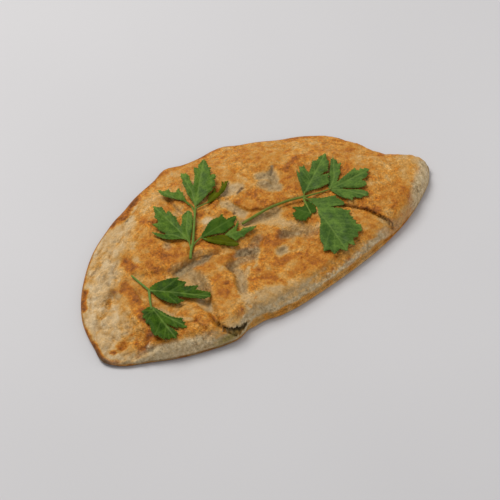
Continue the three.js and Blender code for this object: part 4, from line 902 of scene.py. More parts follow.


# deep, where given, darkens a leaflet with painted shade, where it lies tilted away from the light or in shade
LEAFLETS = {
    "parsley_3": [
        dict(base=(-78, -12), lift=(15.2, 16.8), under=False, edge=pts(
            "-78,-12.6n -78,-10.6s -75.5,-9.5s -71,-9.4s -66,-10.5s -62,-12s -59,-14t -60.5,-15.2n -57.5,-19.5t -60.8,-21.3n -58,-22.6s"
            " -53,-26t -56,-27.5n -53.4,-30.5s -50.5,-34.5t -52,-37t -54,-36.6n -56,-36.2t -59.5,-33.2s -62.5,-30.6n -66,-26.6s -68,-25n -67.5,-28s"
            " -66.2,-30.2t -69,-30n -71,-29.6t -74,-26.5s -76.2,-22.5s -77.6,-18.5s")),
        dict(base=(-84.8, -21.8), lift=(14.6, 15.6), under=False, edge=pts(
            "-85.6,-21.4n -88.5,-21.6s -91,-22t -91.4,-24n -93.2,-26t -92.6,-28n -94,-30.5t -93,-33n -94.8,-36.5s -95.2,-41t -93.8,-41.8n -93.6,-44s"
            " -92.6,-46.4t -91.4,-46n -90,-48.4t -88.6,-48n -86.5,-50.2t -85,-48.5n -83.5,-47.4t -83.6,-44n -84.6,-40.5s -85.4,-37.2n -83.8,-40.5s"
            " -81.5,-44.4t -80.6,-44n -79,-46.4s -76.5,-47.2t -76.9,-45n -75.6,-43.8t -76.2,-42n -75,-40.4t -77.2,-38s -79.2,-35.6n -80.4,-32.5s -82,-28s -83.8,-23.4s")),
    ],
    "parsley_1": [
        dict(base=(-37, 5), lift=(15.0, 17.6), under=False, edge=pts(
            "-37.6,4.3n -37.9,7.2s -39.9,9.7s -43.2,11.7s -46.3,14.0s -48.4,16.3s -50.1,19.3s -51.0,22.0s -51.1,24.8t -48.9,22.4s -46.9,19.8s"
            " -45.0,17.8n -45.6,20.4s -46.9,23.9s -47.0,26.5t -47.4,29.9t -45.4,29.4s -43.9,28.9n -42.7,31.2s -42.8,33.8t -41.2,35.8n -39.9,39.3s"
            " -38.4,41.5t -36.9,39.6s -35.1,38.0t -34.8,36.1s -35.0,34.3s -35.6,32.2n -33.0,32.9t -32.7,31.3s -32.9,28.3s -32.5,26.1t -33.1,24.0s"
            " -34.1,20.3s -34.0,18.6n -31.5,20.9s -28.9,24.1t -26.6,25.5s -24.6,25.9s -23.4,25.7t -22.5,25.0s -22.7,23.2t -23.7,20.8s -25.6,17.2s"
            " -28.0,15.1n -29.5,12.5s -32.3,9.6s -35.0,6.6s -36.7,4.7s")),
        dict(base=(-19.4, 25.2), lift=(15.2, 16.4), under=False, edge=pts(
            "-20.1,24.2n -19.7,27.4s -20.4,30.5s -20.7,33.3s -21.8,35.8n -24.2,38.5s -26.1,41.2s -28.1,44.0s -29.0,46.4s -29.0,48.6s -28.4,50.8t"
            " -27.3,49.7s -26.6,48.2n -24.8,47.9s -22.9,47.5t -23.0,46.0s -22.7,44.5n -21.5,43.7s -20.5,42.6n -18.9,44.1s -17.0,44.4t -17.7,42.3s"
            " -17.4,39.8t -18.3,38.4n -18.1,36.6s -19.3,34.2s -19.1,30.9s -18.8,27.4s -18.9,25.5s")),
        dict(base=(-17, 26.6), lift=(15.4, 18.2), under=False, edge=pts(
            "-17.6,26.3n -16.9,29.2s -16.4,32.0s -15.9,35.3s -15.7,37.3s -14.6,39.8t -13.9,41.6n -13.3,44.1s -12.5,46.7t -11.2,48.4n -10.5,51.8s"
            " -8.7,53.5t -7.5,52.6s -6.1,52.1t -6.1,50.5s -5.9,49.0t -7.1,46.0s -7.9,43.3s -8.6,40.8n -5.8,43.7s -3.1,47.0s -1.5,49.7n 0.6,52.7t"
            " 2.0,52.2n 2.7,51.2s 4.5,53.0t 6.0,53.7s 7.9,54.7s 9.7,54.7t 10.1,53.1s 9.5,50.9t 9.2,49.4n 8.5,47.6s 9.4,46.7t 7.7,45.5n 6.9,43.5s"
            " 5.1,41.5n 7.0,41.4s 7.9,40.1t 6.7,37.6s 5.2,36.8t 4.0,34.4n 2.4,33.0t 0.4,32.5s -0.7,31.0t -4.3,30.0s -8.3,28.6s -13.3,26.9s"
            " -16.2,26.1s")),
        dict(base=(-9.6, 23.8), lift=(15.3, 15.8), under=True, edge=pts(
            "-10.4,23.5n -8.4,25.4s -5.8,28.0s -3.9,29.2s -1.7,29.5s 0.4,30.9s 1.8,31.7t 0.7,29.7s -0.6,27.4n 0.8,27.0s 3.5,28.7s 5.9,30.4s"
            " 8.0,32.7t 8.3,31.6s 7.7,30.2n 9.5,31.6s 11.3,30.6t 9.4,29.1s 6.9,27.0s 3.9,25.3s 0.8,24.4s -2.6,23.7s -5.9,23.2s -8.4,23.3s")),
        dict(base=(-29.4, 3.2), lift=(15.0, 16.6), under=False, deep=0.85, edge=pts(
            "-30.0,3.5n -27.5,5.3s -23.6,7.4s -19.8,9.7s -16.3,10.9s -13.4,10.9s -10.9,10.0n -9.0,10.9s -7.9,10.5t -8.7,9.0n -8.5,7.6s -8.3,6.0n"
            " -5.6,5.8s -3.4,5.4s -1.7,4.2t -3.6,2.7s -6.1,1.4n -7.0,-0.3s -9.6,-0.9s -11.9,-1.2n -15.3,-2.1s -18.1,-0.8s -21.8,0.7s -25.7,1.9s"
            " -28.4,2.7s")),
        dict(base=(-16.4, -4.2), lift=(15.2, 16.2), under=False, deep=0.25, edge=pts(
            "-16.6,-3.4n -13.6,-2.5s -10.3,-1.9s -7.3,-1.5s -5.3,-0.5s -3.1,0.6t -4.6,-1.7s -6.6,-3.4s -8.9,-5.2n -7.5,-6.5s -5.8,-6.2s -4.0,-6.1t"
            " -2.1,-7.0s -0.1,-7.6s 3.3,-9.5t -0.4,-10.5s -3.6,-10.3n -5.9,-10.8s -7.8,-11.5t -9.2,-10.8n -11.0,-11.3s -13.5,-11.4t -14.4,-9.3s"
            " -15.1,-7.1s -16.0,-5.1s")),
        dict(base=(-28.8, 1.2), lift=(14.8, 15.2), under=True, edge=pts(
            "-29.3,2.1n -26.2,1.2s -21.9,-0.7s -18.3,-2.4s -16.1,-4.5s -15.4,-7.5s -14.6,-10.5s -14.1,-14.3t -16.1,-15.0s -19.2,-12.7s -22.1,-9.5s"
            " -24.9,-6.2s -27.2,-2.8s -28.6,-0.2s")),
    ],
    "parsley_2": [
        dict(base=(42.8, -6.8), lift=(15.4, 18.0), under=False, edge=pts(
            "42.7,-6.5n 44.5,-2.1s 46.6,2.2s 47.8,5.3s 49.5,8.8s 51.6,11.9t 51.6,10.2s 51.6,8.4n 53.3,11.3s 55.0,13.8t 56.1,12.7s 57.7,12.7t"
            " 57.3,10.6s 56.6,7.6s 57.0,6.1n 60.1,8.5s 65.0,12.6t 65.7,11.8n 67.0,11.2n 68.4,11.9s 70.6,12.9s 72.6,12.6s 75.2,12.8t 74.3,10.5s"
            " 72.9,8.3t 73.0,7.3n 72.2,5.3t 69.6,2.7s 67.5,0.7t 64.2,0.3s 61.1,-0.2n 63.7,-1.0s 66.3,-2.2t 64.4,-4.1n 63.0,-6.5s 61.2,-8.3t"
            " 58.2,-8.5s 54.8,-8.3s 50.4,-7.1s 46.6,-6.2s 43.8,-6.4s")),
        dict(base=(58.2, -13.2), lift=(15.1, 17.2), under=False, edge=pts(
            "58.3,-12.4n 60.3,-9.2s 64.0,-5.0s 67.3,-1.5s 70.6,1.9s 73.2,4.7s 75.1,6.7t 75.8,6.4n 77.0,6.9t 76.7,5.1s 77.1,4.0t 76.8,2.7s 75.9,0.9n"
            " 76.9,0.6s 78.0,0.2t 75.8,-2.0s 73.8,-4.0s 72.9,-5.7t 70.5,-7.4s 68.6,-8.9s 65.2,-11.2n 69.3,-10.3s 73.6,-9.5s 77.2,-8.9s 79.7,-8.6n"
            " 82.3,-8.5t 82.2,-10.2n 83.3,-11.4n 85.1,-11.0t 85.9,-12.1n 87.7,-12.4t 88.6,-13.8s 89.2,-14.5t 87.8,-15.6s 86.3,-15.9t 86.1,-17.3s"
            " 84.3,-18.3s 82.3,-18.6t 80.6,-18.7s 79.0,-18.2n 80.4,-20.1s 80.2,-22.0t 79.3,-23.6t 77.3,-23.8s 74.8,-23.3s 73.0,-22.4n 67.5,-18.1s"
            " 62.5,-14.3n 67.4,-19.4s 72.9,-23.7s 74.9,-25.7s 75.9,-28.0t 76.0,-29.6t 74.4,-31.3t 72.3,-30.0n 69.7,-29.9t 67.7,-27.9n 66.0,-27.1s"
            " 64.4,-28.4t 63.4,-26.6s 62.3,-25.2t 60.9,-23.1s 59.7,-20.1s 58.9,-16.5s 58.4,-13.8s")),
        dict(base=(41.8, -9.6), lift=(14.9, 16.4), under=False, edge=pts(
            "41.8,-8.6n 43.1,-10.7s 46.6,-13.1s 50.0,-15.4s 54.1,-17.1s 56.8,-18.2s 58.0,-19.5t 57.4,-20.9n 58.3,-23.0s 58.9,-25.3t 59.1,-26.6s"
            " 57.9,-27.9t 56.2,-27.8s 54.4,-26.7s 51.8,-25.5s 49.8,-24.4n 51.7,-26.8s 54.3,-29.1s 55.7,-31.7s 57.1,-33.3s 57.8,-34.4t 56.2,-35.5n"
            " 55.3,-37.6s 55.7,-39.3t 54.9,-40.7s 55.3,-42.8t 54.3,-44.2n 54.4,-45.4s 55.6,-47.1t 53.4,-51t 50.6,-50.6n 48.4,-53.4t 45.4,-53s"
            " 42.6,-57.4t 40.2,-54.4n 36,-58.2t 33.6,-54.6n 28.6,-55.6t 28.2,-51.4n 24.6,-50t 27.0,-46.4s 27.6,-43.6s 28.5,-41.1s 30.6,-38.3s"
            " 33.9,-34.1s 37.2,-30.9s 39.6,-27.1n 40.4,-24.3s 42.5,-21.2s 42.8,-18.1s 42.1,-14.6s 41.7,-11.0s")),
        dict(base=(37, -21.6), lift=(14.8, 15.2), under=False, deep=0.9, edge=pts(
            "37.0,-21.3n 38.4,-22.4s 40.4,-22.2s 42.2,-19.6s 42.4,-16.2s 41.4,-12.8s 40.4,-11.0s 39.0,-12.6s 37.4,-13.8s 36.1,-14.0s 34.4,-12.9n 33.1,-12.2s 30.8,-10.8t 30.9,-12.4s 31.1,-13.9n"
            " 30.1,-14.8s 28.6,-14.5s 27.5,-15.2t 27.5,-16.3n 26.5,-17.3t 27.0,-18.3n 26.6,-19.8t 27.6,-20.8n 27.7,-22.0s 28.7,-22.7t 29.7,-22.6n"
            " 29.9,-24.1s 31.2,-24.0t 33.2,-23.0s 34.7,-23.4t 35.6,-22.4n 36.8,-22.7s")),
    ],
}
# stems and stalks: name of the sprig, path as it looks on the plane with heights, radius at its ends
STALKS = {
    "parsley_1": [
        ([(-44.6, -6.6, 14.9), (-42.4, -3.6, 15.2), (-40.1, -1, 15.5), (-35.7, 3.4, 16.0), (-30, 10.4, 16.3), (-23.7, 18.3, 16.4), (-19.2, 23.8, 16.4)], 0.85, 0.62),
        ([(-39.8, -0.5, 15.5), (-38.8, 1.8, 15.6), (-37.2, 5.4, 15.7)], 0.6, 0.4),
        ([(-38.6, 0.5, 15.4), (-36.6, 1.5, 15.5), (-33.6, 2.6, 15.5), (-28.6, 3.8, 15.5)], 0.6, 0.4),
        ([(-21.6, 21.2, 16.2), (-20.3, 24, 15.7), (-19.6, 27, 15.35)], 0.5, 0.35),
        ([(-19.9, 22.9, 16.3), (-18.2, 25, 15.9), (-16.6, 27.8, 15.55)], 0.55, 0.35),
        ([(-20.2, 22.6, 16.2), (-17.5, 24.7, 15.9), (-12.4, 24.3, 15.7), (-9, 24, 15.6)], 0.5, 0.35),
        ([(-29.6, 3.6, 15.1), (-28.6, 1.8, 15.0), (-27.4, 0.2, 14.95)], 0.42, 0.3),
        ([(-18.8, -4.7, 14.95), (-16.9, -4.4, 15.05), (-15.2, -4.3, 15.15)], 0.28, 0.28),
    ],
    "parsley_2": [
        ([(-2.6, -3, 12.8), (3, -2.6, 13.0), (12, -2.4, 13.4), (20, -2.6, 14.0), (30, -4.4, 15.1), (36.4, -6.2, 15.8), (42, -8.2, 16.1)], 0.85, 0.75),
        ([(40.8, -7.8, 16.1), (42.4, -7.2, 16.2), (45, -5, 16.3)], 0.65, 0.4),
        ([(41.4, -8.2, 16.0), (47, -9.8, 16.0), (53, -11.6, 15.9), (60, -13.2, 15.9)], 0.65, 0.4),
        ([(40.8, -8, 15.9), (42, -10.4, 15.8), (43.6, -14, 15.6)], 0.62, 0.42),
        ([(41, -8.1, 15.8), (39.6, -12, 15.5), (38.2, -16.6, 15.4), (36.6, -22, 15.2)], 0.6, 0.35),
    ],
    "parsley_3": [
        ([(-80.8, 4.2, 13.6), (-80.2, -0.5, 14.2), (-79.6, -5, 14.7), (-79, -9, 15.2), (-78.6, -12.2, 15.4)], 0.55, 0.75),
        ([(-79, -11.4, 15.4), (-78, -12.6, 15.5), (-75.6, -14.6, 15.8)], 0.8, 0.4),
        ([(-78.9, -11.8, 15.3), (-81.4, -16, 15.0), (-84, -20.6, 15.0), (-85.6, -24, 15.0)], 0.85, 0.5),
    ],
}


# how far each sprig has sunk onto the bread
LOWER = {"parsley_1": 2.3, "parsley_2": 1.6, "parsley_3": 2.1}


def curved(edge, fine=0.45, swell=0.14):
    """a closed outline through an edge's points: lobes swell, notches and tips stay sharp"""
    n = len(edge)
    xy = np.array([(e[0], e[1]) for e in edge])
    point = xy - (np.roll(xy, 1, 0) + np.roll(xy, -1, 0)) / 2
    point /= np.maximum(np.hypot(*point.T), 1e-6)[:, None]
    xy = xy + 0.5 * point * np.array([[e[2] == "t"] for e in edge])
    area = 0.5 * np.sum(xy[:, 0] * np.roll(xy[:, 1], -1) - np.roll(xy[:, 0], -1) * xy[:, 1])
    turn = 1 if area > 0 else -1
    out = []
    for i in range(n):
        a, b = xy[i], xy[(i + 1) % n]
        chord = b - a
        length = np.hypot(*chord)
        side = np.array([chord[1], -chord[0]]) * turn
        ta = (b - xy[i - 1]) / 2 if edge[i][2] == "s" else chord + side * swell
        tb = (xy[(i + 2) % n] - a) / 2 if edge[(i + 1) % n][2] == "s" else chord - side * swell
        for tangent in (ta, tb):
            size = np.hypot(*tangent)
            if size > 1.25 * length:
                tangent *= 1.25 * length / size
        steps = max(2, int(round(length / fine)))
        for k in range(steps):
            u = k / steps
            out.append((2 * u**3 - 3 * u**2 + 1) * a + (u**3 - 2 * u**2 + u) * ta
                       + (-2 * u**3 + 3 * u**2) * b + (u**3 - u**2) * tb)
    out = np.array(out)
    # fine teeth along the edge, leaning towards the tips
    step = np.roll(out, -1, 0) - np.roll(out, 1, 0)
    step /= np.maximum(np.hypot(*step.T), 1e-9)[:, None]
    run = np.concatenate([[0], np.cumsum(np.hypot(*np.diff(out, axis=0).T))])
    tooth = ((run / 2.0) % 1.0) - 0.5
    out = out + turn * np.stack([step[:, 1], -step[:, 0]], -1) * (0.66 * tooth)[:, None]
    return out if turn > 0 else out[::-1]


class Ground:
    """highest dough near a plan position, from a grid of samples"""

    def __init__(self):
        self.x0, self.y0, self.step = -135.0, -75.0, 1.0
        gx, gy = np.meshgrid(np.arange(self.x0, 136, self.step), np.arange(self.y0, 76, self.step))
        h = top_height(gx, gy)
        deg = np.degrees(np.arctan2(gy - POLE[1], gx - POLE[0]))
        h[np.hypot(gx - POLE[0], gy - POLE[1]) > radius(deg)] = 0
        big = h.copy()
        for dx in (-1, 0, 1):
            for dy in (-1, 0, 1):
                big = np.maximum(big, np.roll(np.roll(h, dx, 1), dy, 0))
        self.h = big + 0.25

    def __call__(self, x, y):
        u, v = (np.asarray(x) - self.x0) / self.step, (np.asarray(y) - self.y0) / self.step
        i = np.clip(np.floor(u).astype(int), 0, self.h.shape[1] - 2)
        j = np.clip(np.floor(v).astype(int), 0, self.h.shape[0] - 2)
        f, g = u - i, v - j
        a = self.h
        return (a[j, i] * (1 - f) * (1 - g) + a[j, i + 1] * f * (1 - g) + a[j + 1, i] * (1 - f) * g + a[j + 1, i + 1] * f * g)


def stand(x, y, h):
    """true plan position of a point that is at height h and looks to be at (x, y)"""
    t = (h - PLANE) / (EYE[2] - PLANE)
    return x + (EYE[0] - x) * t, y + (EYE[1] - y) * t


def make_leaflet(name, leaf, ground, seed, lower):
    edge = curved(leaf["edge"])
    base = np.array(leaf["base"], float)
    tips = np.array([(e[0], e[1]) for e in leaf["edge"] if e[2] == "t"])
    reach = np.hypot(*(tips - base).T)
    far = reach.max()
    # inner points on a triangular grid
    lo, hi = edge.min(0), edge.max(0)
    cell = 0.56
    gx, gy = np.meshgrid(np.arange(lo[0], hi[0], cell), np.arange(lo[1], hi[1], cell * 0.866))
    gx = gx + (np.arange(gx.shape[0]) % 2)[:, None] * cell / 2
    gx, gy = gx.ravel(), gy.ravel()
    keep = inside(edge, gx, gy) > 0.33
    grid = np.stack([gx[keep], gy[keep]], -1)
    points = [tuple(q) for q in edge] + [tuple(q) for q in grid]
    verts, _, tris, _, _, _ = delaunay_2d_cdt([Vector((float(q[0]), float(q[1]))) for q in points], [], [list(range(len(edge)))], 1, 1e-5)
    v = np.array([(q.x, q.y) for q in verts])
    tris = [tuple(t) for t in tris]
    # veins: from the base to the tips of the greater lobes, and finer ones beside them
    veins = 1e9 * np.ones(len(v))
    fine = 1e9 * np.ones(len(v))
    k = len(tips)
    mains = [i for i in range(k) if reach[i] > 0.5 * far
             and reach[i] >= max(reach[j] for j in range(max(0, i - 1), min(k, i + 2)))]
    mid = tips.mean(0)
    for i in mains:
        bend = mix(base + (tips[i] - base) * 0.45, base + (mid - base) * 0.45, 0.3)
        veins = np.minimum(veins, distance([base, bend, tips[i]], v[:, 0], v[:, 1]))
    for i in range(k):
        if i not in mains:
            near = min(mains, key=lambda m: float(distance([base, tips[m]], *tips[i])))
            axis = tips[near] - base
            f = float(np.clip((tips[i] - base) @ axis / (axis @ axis) - 0.26, 0.12, 0.8))
            fine = np.minimum(fine, distance([base + f * axis, tips[i]], v[:, 0], v[:, 1]))
    rim = distance(np.vstack([edge, edge[:1]]), v[:, 0], v[:, 1])
    along = np.hypot(*(v - base).T) / far
    p0 = np.stack([v[:, 0], v[:, 1], np.full(len(v), seed * 50.0)], -1)
    h = mix(leaf["lift"][0], leaf["lift"][1], along**0.8) - lower
    # each lobe folds a little along its vein, and the blade ripples
    h += 0.20 * (np.minimum(veins, 5.0) - 2.0) * smooth(0.0, 0.3, along) + 0.14 * (1 - np.exp(-(fine / 0.9) ** 2))
    h -= 0.35 * np.exp(-rim / 1.2) * smooth(0.2, 0.5, along)
    h += 0.9 * noise(p0, 13, 71) * along + 0.36 * noise(p0, 4.2, 72)
    for _ in range(3):
        x, y = stand(v[:, 0], v[:, 1], h)
        g = ground(x, y) + 0.35
        short = np.maximum(0, g - h)
        h = h + short
    x, y = stand(v[:, 0], v[:, 1], h)
    # a blade with two sides, thinning to its edge
    half = 0.22 * smooth(-0.5, 0.9, rim)
    n = len(v)
    vertices = np.vstack([np.stack([x, y, h + half], -1), np.stack([x, y, h - half], -1)])
    count = {}
    for a, b, c in tris:
        for e in ((a, b), (b, c), (c, a)):
            count[e] = count.get(e, 0) + 1
    faces = list(tris) + [(a + n, c + n, b + n) for a, b, c in tris]
    for a, b in count:
        if (b, a) not in count:
            faces += [(b, a, a + n), (b, a + n, b + n)]
    obj = make_mesh(name, vertices, faces)
    if volume(obj) < 0:
        obj.data.flip_normals()
    vein = 0.9 * np.exp(-(veins / 0.40) ** 2) + 0.45 * np.exp(-(fine / 0.32) ** 2)
    # painted shade: a leaflet's deep value darkens all of it
    shade = np.full(2 * n, leaf.get("deep", 0.0))
    return obj, vertices, np.tile(vein, 2), np.repeat([1.0 if leaf["under"] else 0.0, 0.6], n), np.tile(rim, 2), shade


def make_stalk(name, path, r0, r1, ground, lower):
    keys = []
    for x, y, h in path:
        h -= lower
        for _ in range(4):
            px, py = stand(x, y, h)
            h = max(h, float(ground(px, py)) + r0 * 0.6)
        px, py = stand(x, y, h)
        keys.append((px, py, h))
    keys = np.array(keys)
    ext = np.vstack([2 * keys[0] - keys[1], keys, 2 * keys[-1] - keys[-2]])
    line = []
    for i in range(1, len(ext) - 2):
        steps = max(3, int(np.linalg.norm(ext[i + 1] - ext[i]) / 0.9))
        for k in range(steps):
            t = k / steps
            line.append(0.5 * ((2 * ext[i]) + (-ext[i - 1] + ext[i + 1]) * t
                               + (2 * ext[i - 1] - 5 * ext[i] + 4 * ext[i + 1] - ext[i + 2]) * t * t
                               + (-ext[i - 1] + 3 * ext[i] - 3 * ext[i + 1] + ext[i + 2]) * t**3))
    line.append(keys[-1])
    line = np.array(line)
    n, sides = len(line), 14
    vertices = []
    for i in range(n):
        d = line[min(i + 1, n - 1)] - line[max(i - 1, 0)]
        d /= np.linalg.norm(d)
        a = np.cross(d, (0, 0, 1))
        a /= np.linalg.norm(a)
        b = np.cross(a, d)
        r = mix(r0, r1, i / (n - 1))
        for k in range(sides):
            t = 2 * math.pi * k / sides
            rr = r * (1 + 0.09 * math.cos(3.5 * t + 0.4) * math.cos(0.5 * t) + 0.03 * math.sin(7 * i / n + 3 * t))
            vertices.append(line[i] + rr * (math.cos(t) * a + math.sin(t) * b))
    faces = []
    for i in range(n - 1):
        for k in range(sides):
            m = (k + 1) % sides
            p, q = i * sides, (i + 1) * sides
            faces += [(p + k, p + m, q + m), (p + k, q + m, q + k)]
    faces += [tuple(range(sides - 1, -1, -1)), tuple((n - 1) * sides + k for k in range(sides))]
    obj = make_mesh(name, vertices, faces)
    if volume(obj) < 0:
        obj.data.flip_normals()
    return obj, np.array(vertices)


def drop_pockets(obj, least):
    """takes away the tiny shut pockets left inside where a stalk and a blade meet"""
    import bmesh
    bm = bmesh.new()
    bm.from_mesh(obj.data)
    seen_already, small = set(), []
    for start in bm.faces:
        if start in seen_already:
            continue
        seen_already.add(start)
        part, todo = [], [start]
        while todo:
            face = todo.pop()
            part.append(face)
            for edge in face.edges:
                for other in edge.link_faces:
                    if other not in seen_already:
                        seen_already.add(other)
                        todo.append(other)
        if len(part) < least:
            small += part
    bmesh.ops.delete(bm, geom=small, context="FACES")
    bm.to_mesh(obj.data)
    bm.free()


def make_sprig(name, ground, seed):
    known, values, whole = [], [], None
    for k, leaf in enumerate(LEAFLETS[name]):
        obj, v, vein, under, rim, shade = make_leaflet(f"{name}_leaf", leaf, ground, seed * 10 + k, LOWER[name])
        known.append(v)
        values.append(np.stack([vein, under, np.zeros(len(v)), rim, shade], -1))
        whole = obj if whole is None else combine(whole, obj, "UNION")
    for k, (path, r0, r1) in enumerate(STALKS[name]):
        obj, v = make_stalk(f"{name}_stalk", path, r0, r1, ground, LOWER[name])
        known.append(v)
        values.append(np.tile([0.0, 0.0, 1.0, 1.0, 0.0], (len(v), 1)))
        whole = combine(whole, obj, "UNION")
    drop_pockets(whole, 60)
    known, values = np.vstack(known), np.vstack(values)
    tree = KDTree(len(known))
    for i, q in enumerate(known):
        tree.insert(q, i)
    tree.balance()
    v = coordinates(whole)
    nearest = [tree.find(q)[1] for q in v]
    whole.name = whole.data.name = name + "_fresh"
    for k, label in enumerate(("vein", "under", "stalk", "rim", "deep")):
        attribute(whole, label, values[nearest, k])
    shade_smooth(whole)
    return whole


# ---------------------------------------------------------------- materials
def linear(r, g, b):
    return tuple(c / 12.92 if c <= 0.04045 else ((c + 0.055) / 1.055) ** 2.4 for c in (r / 255, g / 255, b / 255)) + (1.0,)


class Nodes:
    """short names for the nodes of one material"""

    def __init__(self, name):
        self.material = bpy.data.materials.new(name)
        self.material.use_nodes = True
        self.tree = self.material.node_tree
        self.tree.nodes.clear()
        self.out = self.tree.nodes.new("ShaderNodeOutputMaterial")
        self.shader = self.tree.nodes.new("ShaderNodeBsdfPrincipled")
        self.tree.links.new(self.shader.outputs[0], self.out.inputs[0])
        self.coords = self.tree.nodes.new("ShaderNodeTexCoord").outputs["Object"]

    def link(self, value, socket):
        if isinstance(value, bpy.types.NodeSocket):
            self.tree.links.new(value, socket)
        else:
            socket.default_value = value

    def attribute(self, name):
        n = self.tree.nodes.new("ShaderNodeAttribute")
        n.attribute_name = name
        return n.outputs["Fac"]

    def noise(self, size_mm, detail=2.0, rough=0.5, warp=0.0, offset=(0, 0, 0), stretch=(1, 1, 1)):
        m = self.tree.nodes.new("ShaderNodeMapping")
        m.inputs["Location"].default_value = offset
        m.inputs["Scale"].default_value = stretch
        self.link(self.coords, m.inputs["Vector"])
        n = self.tree.nodes.new("ShaderNodeTexNoise")
        self.link(m.outputs[0], n.inputs["Vector"])
        n.inputs["Scale"].default_value = 1000.0 / size_mm
        n.inputs["Detail"].default_value = detail
        n.inputs["Roughness"].default_value = rough
        n.inputs["Distortion"].default_value = warp
        return n.outputs["Fac"]

    def cells(self, size_mm, feature="F1", offset=(0, 0, 0)):
        m = self.tree.nodes.new("ShaderNodeMapping")
        m.inputs["Location"].default_value = offset
        self.link(self.coords, m.inputs["Vector"])
        n = self.tree.nodes.new("ShaderNodeTexVoronoi")
        n.feature = feature
        self.link(m.outputs[0], n.inputs["Vector"])
        n.inputs["Scale"].default_value = 1000.0 / size_mm
        return n.outputs["Distance"]

    def math(self, how, a, b=0.0, clamp=False):
        n = self.tree.nodes.new("ShaderNodeMath")
        n.operation, n.use_clamp = how, clamp
        self.link(a, n.inputs[0])
        self.link(b, n.inputs[1])
        return n.outputs[0]

    def range(self, value, a, b, c=0.0, d=1.0):
        n = self.tree.nodes.new("ShaderNodeMapRange")
        n.interpolation_type = "SMOOTHSTEP"
        for k, q in enumerate((value, a, b, c, d)):
            self.link(q, n.inputs[k])
        return n.outputs[0]

    def ramp(self, value, stops):
        n = self.tree.nodes.new("ShaderNodeValToRGB")
        e = n.color_ramp.elements
        while len(e) < len(stops):
            e.new(0.5)
        for k, (at, colour) in enumerate(stops):
            e[k].position = at
            e[k].color = linear(*colour)
        self.link(value, n.inputs[0])
        return n.outputs[0]

    def mix(self, factor, a, b, how="MIX"):
        n = self.tree.nodes.new("ShaderNodeMix")
        n.data_type, n.blend_type = "RGBA", how
        self.link(factor, n.inputs[0])
        self.link(a, n.inputs[6])
        self.link(b, n.inputs[7])
        return n.outputs[2]

    def bump(self, height, strength, distance_mm, normal=None):
        n = self.tree.nodes.new("ShaderNodeBump")
        n.inputs["Strength"].default_value = strength
        n.inputs["Distance"].default_value = distance_mm * MM
        self.link(height, n.inputs["Height"])
        if normal is not None:
            self.link(normal, n.inputs["Normal"])
        return n.outputs[0]


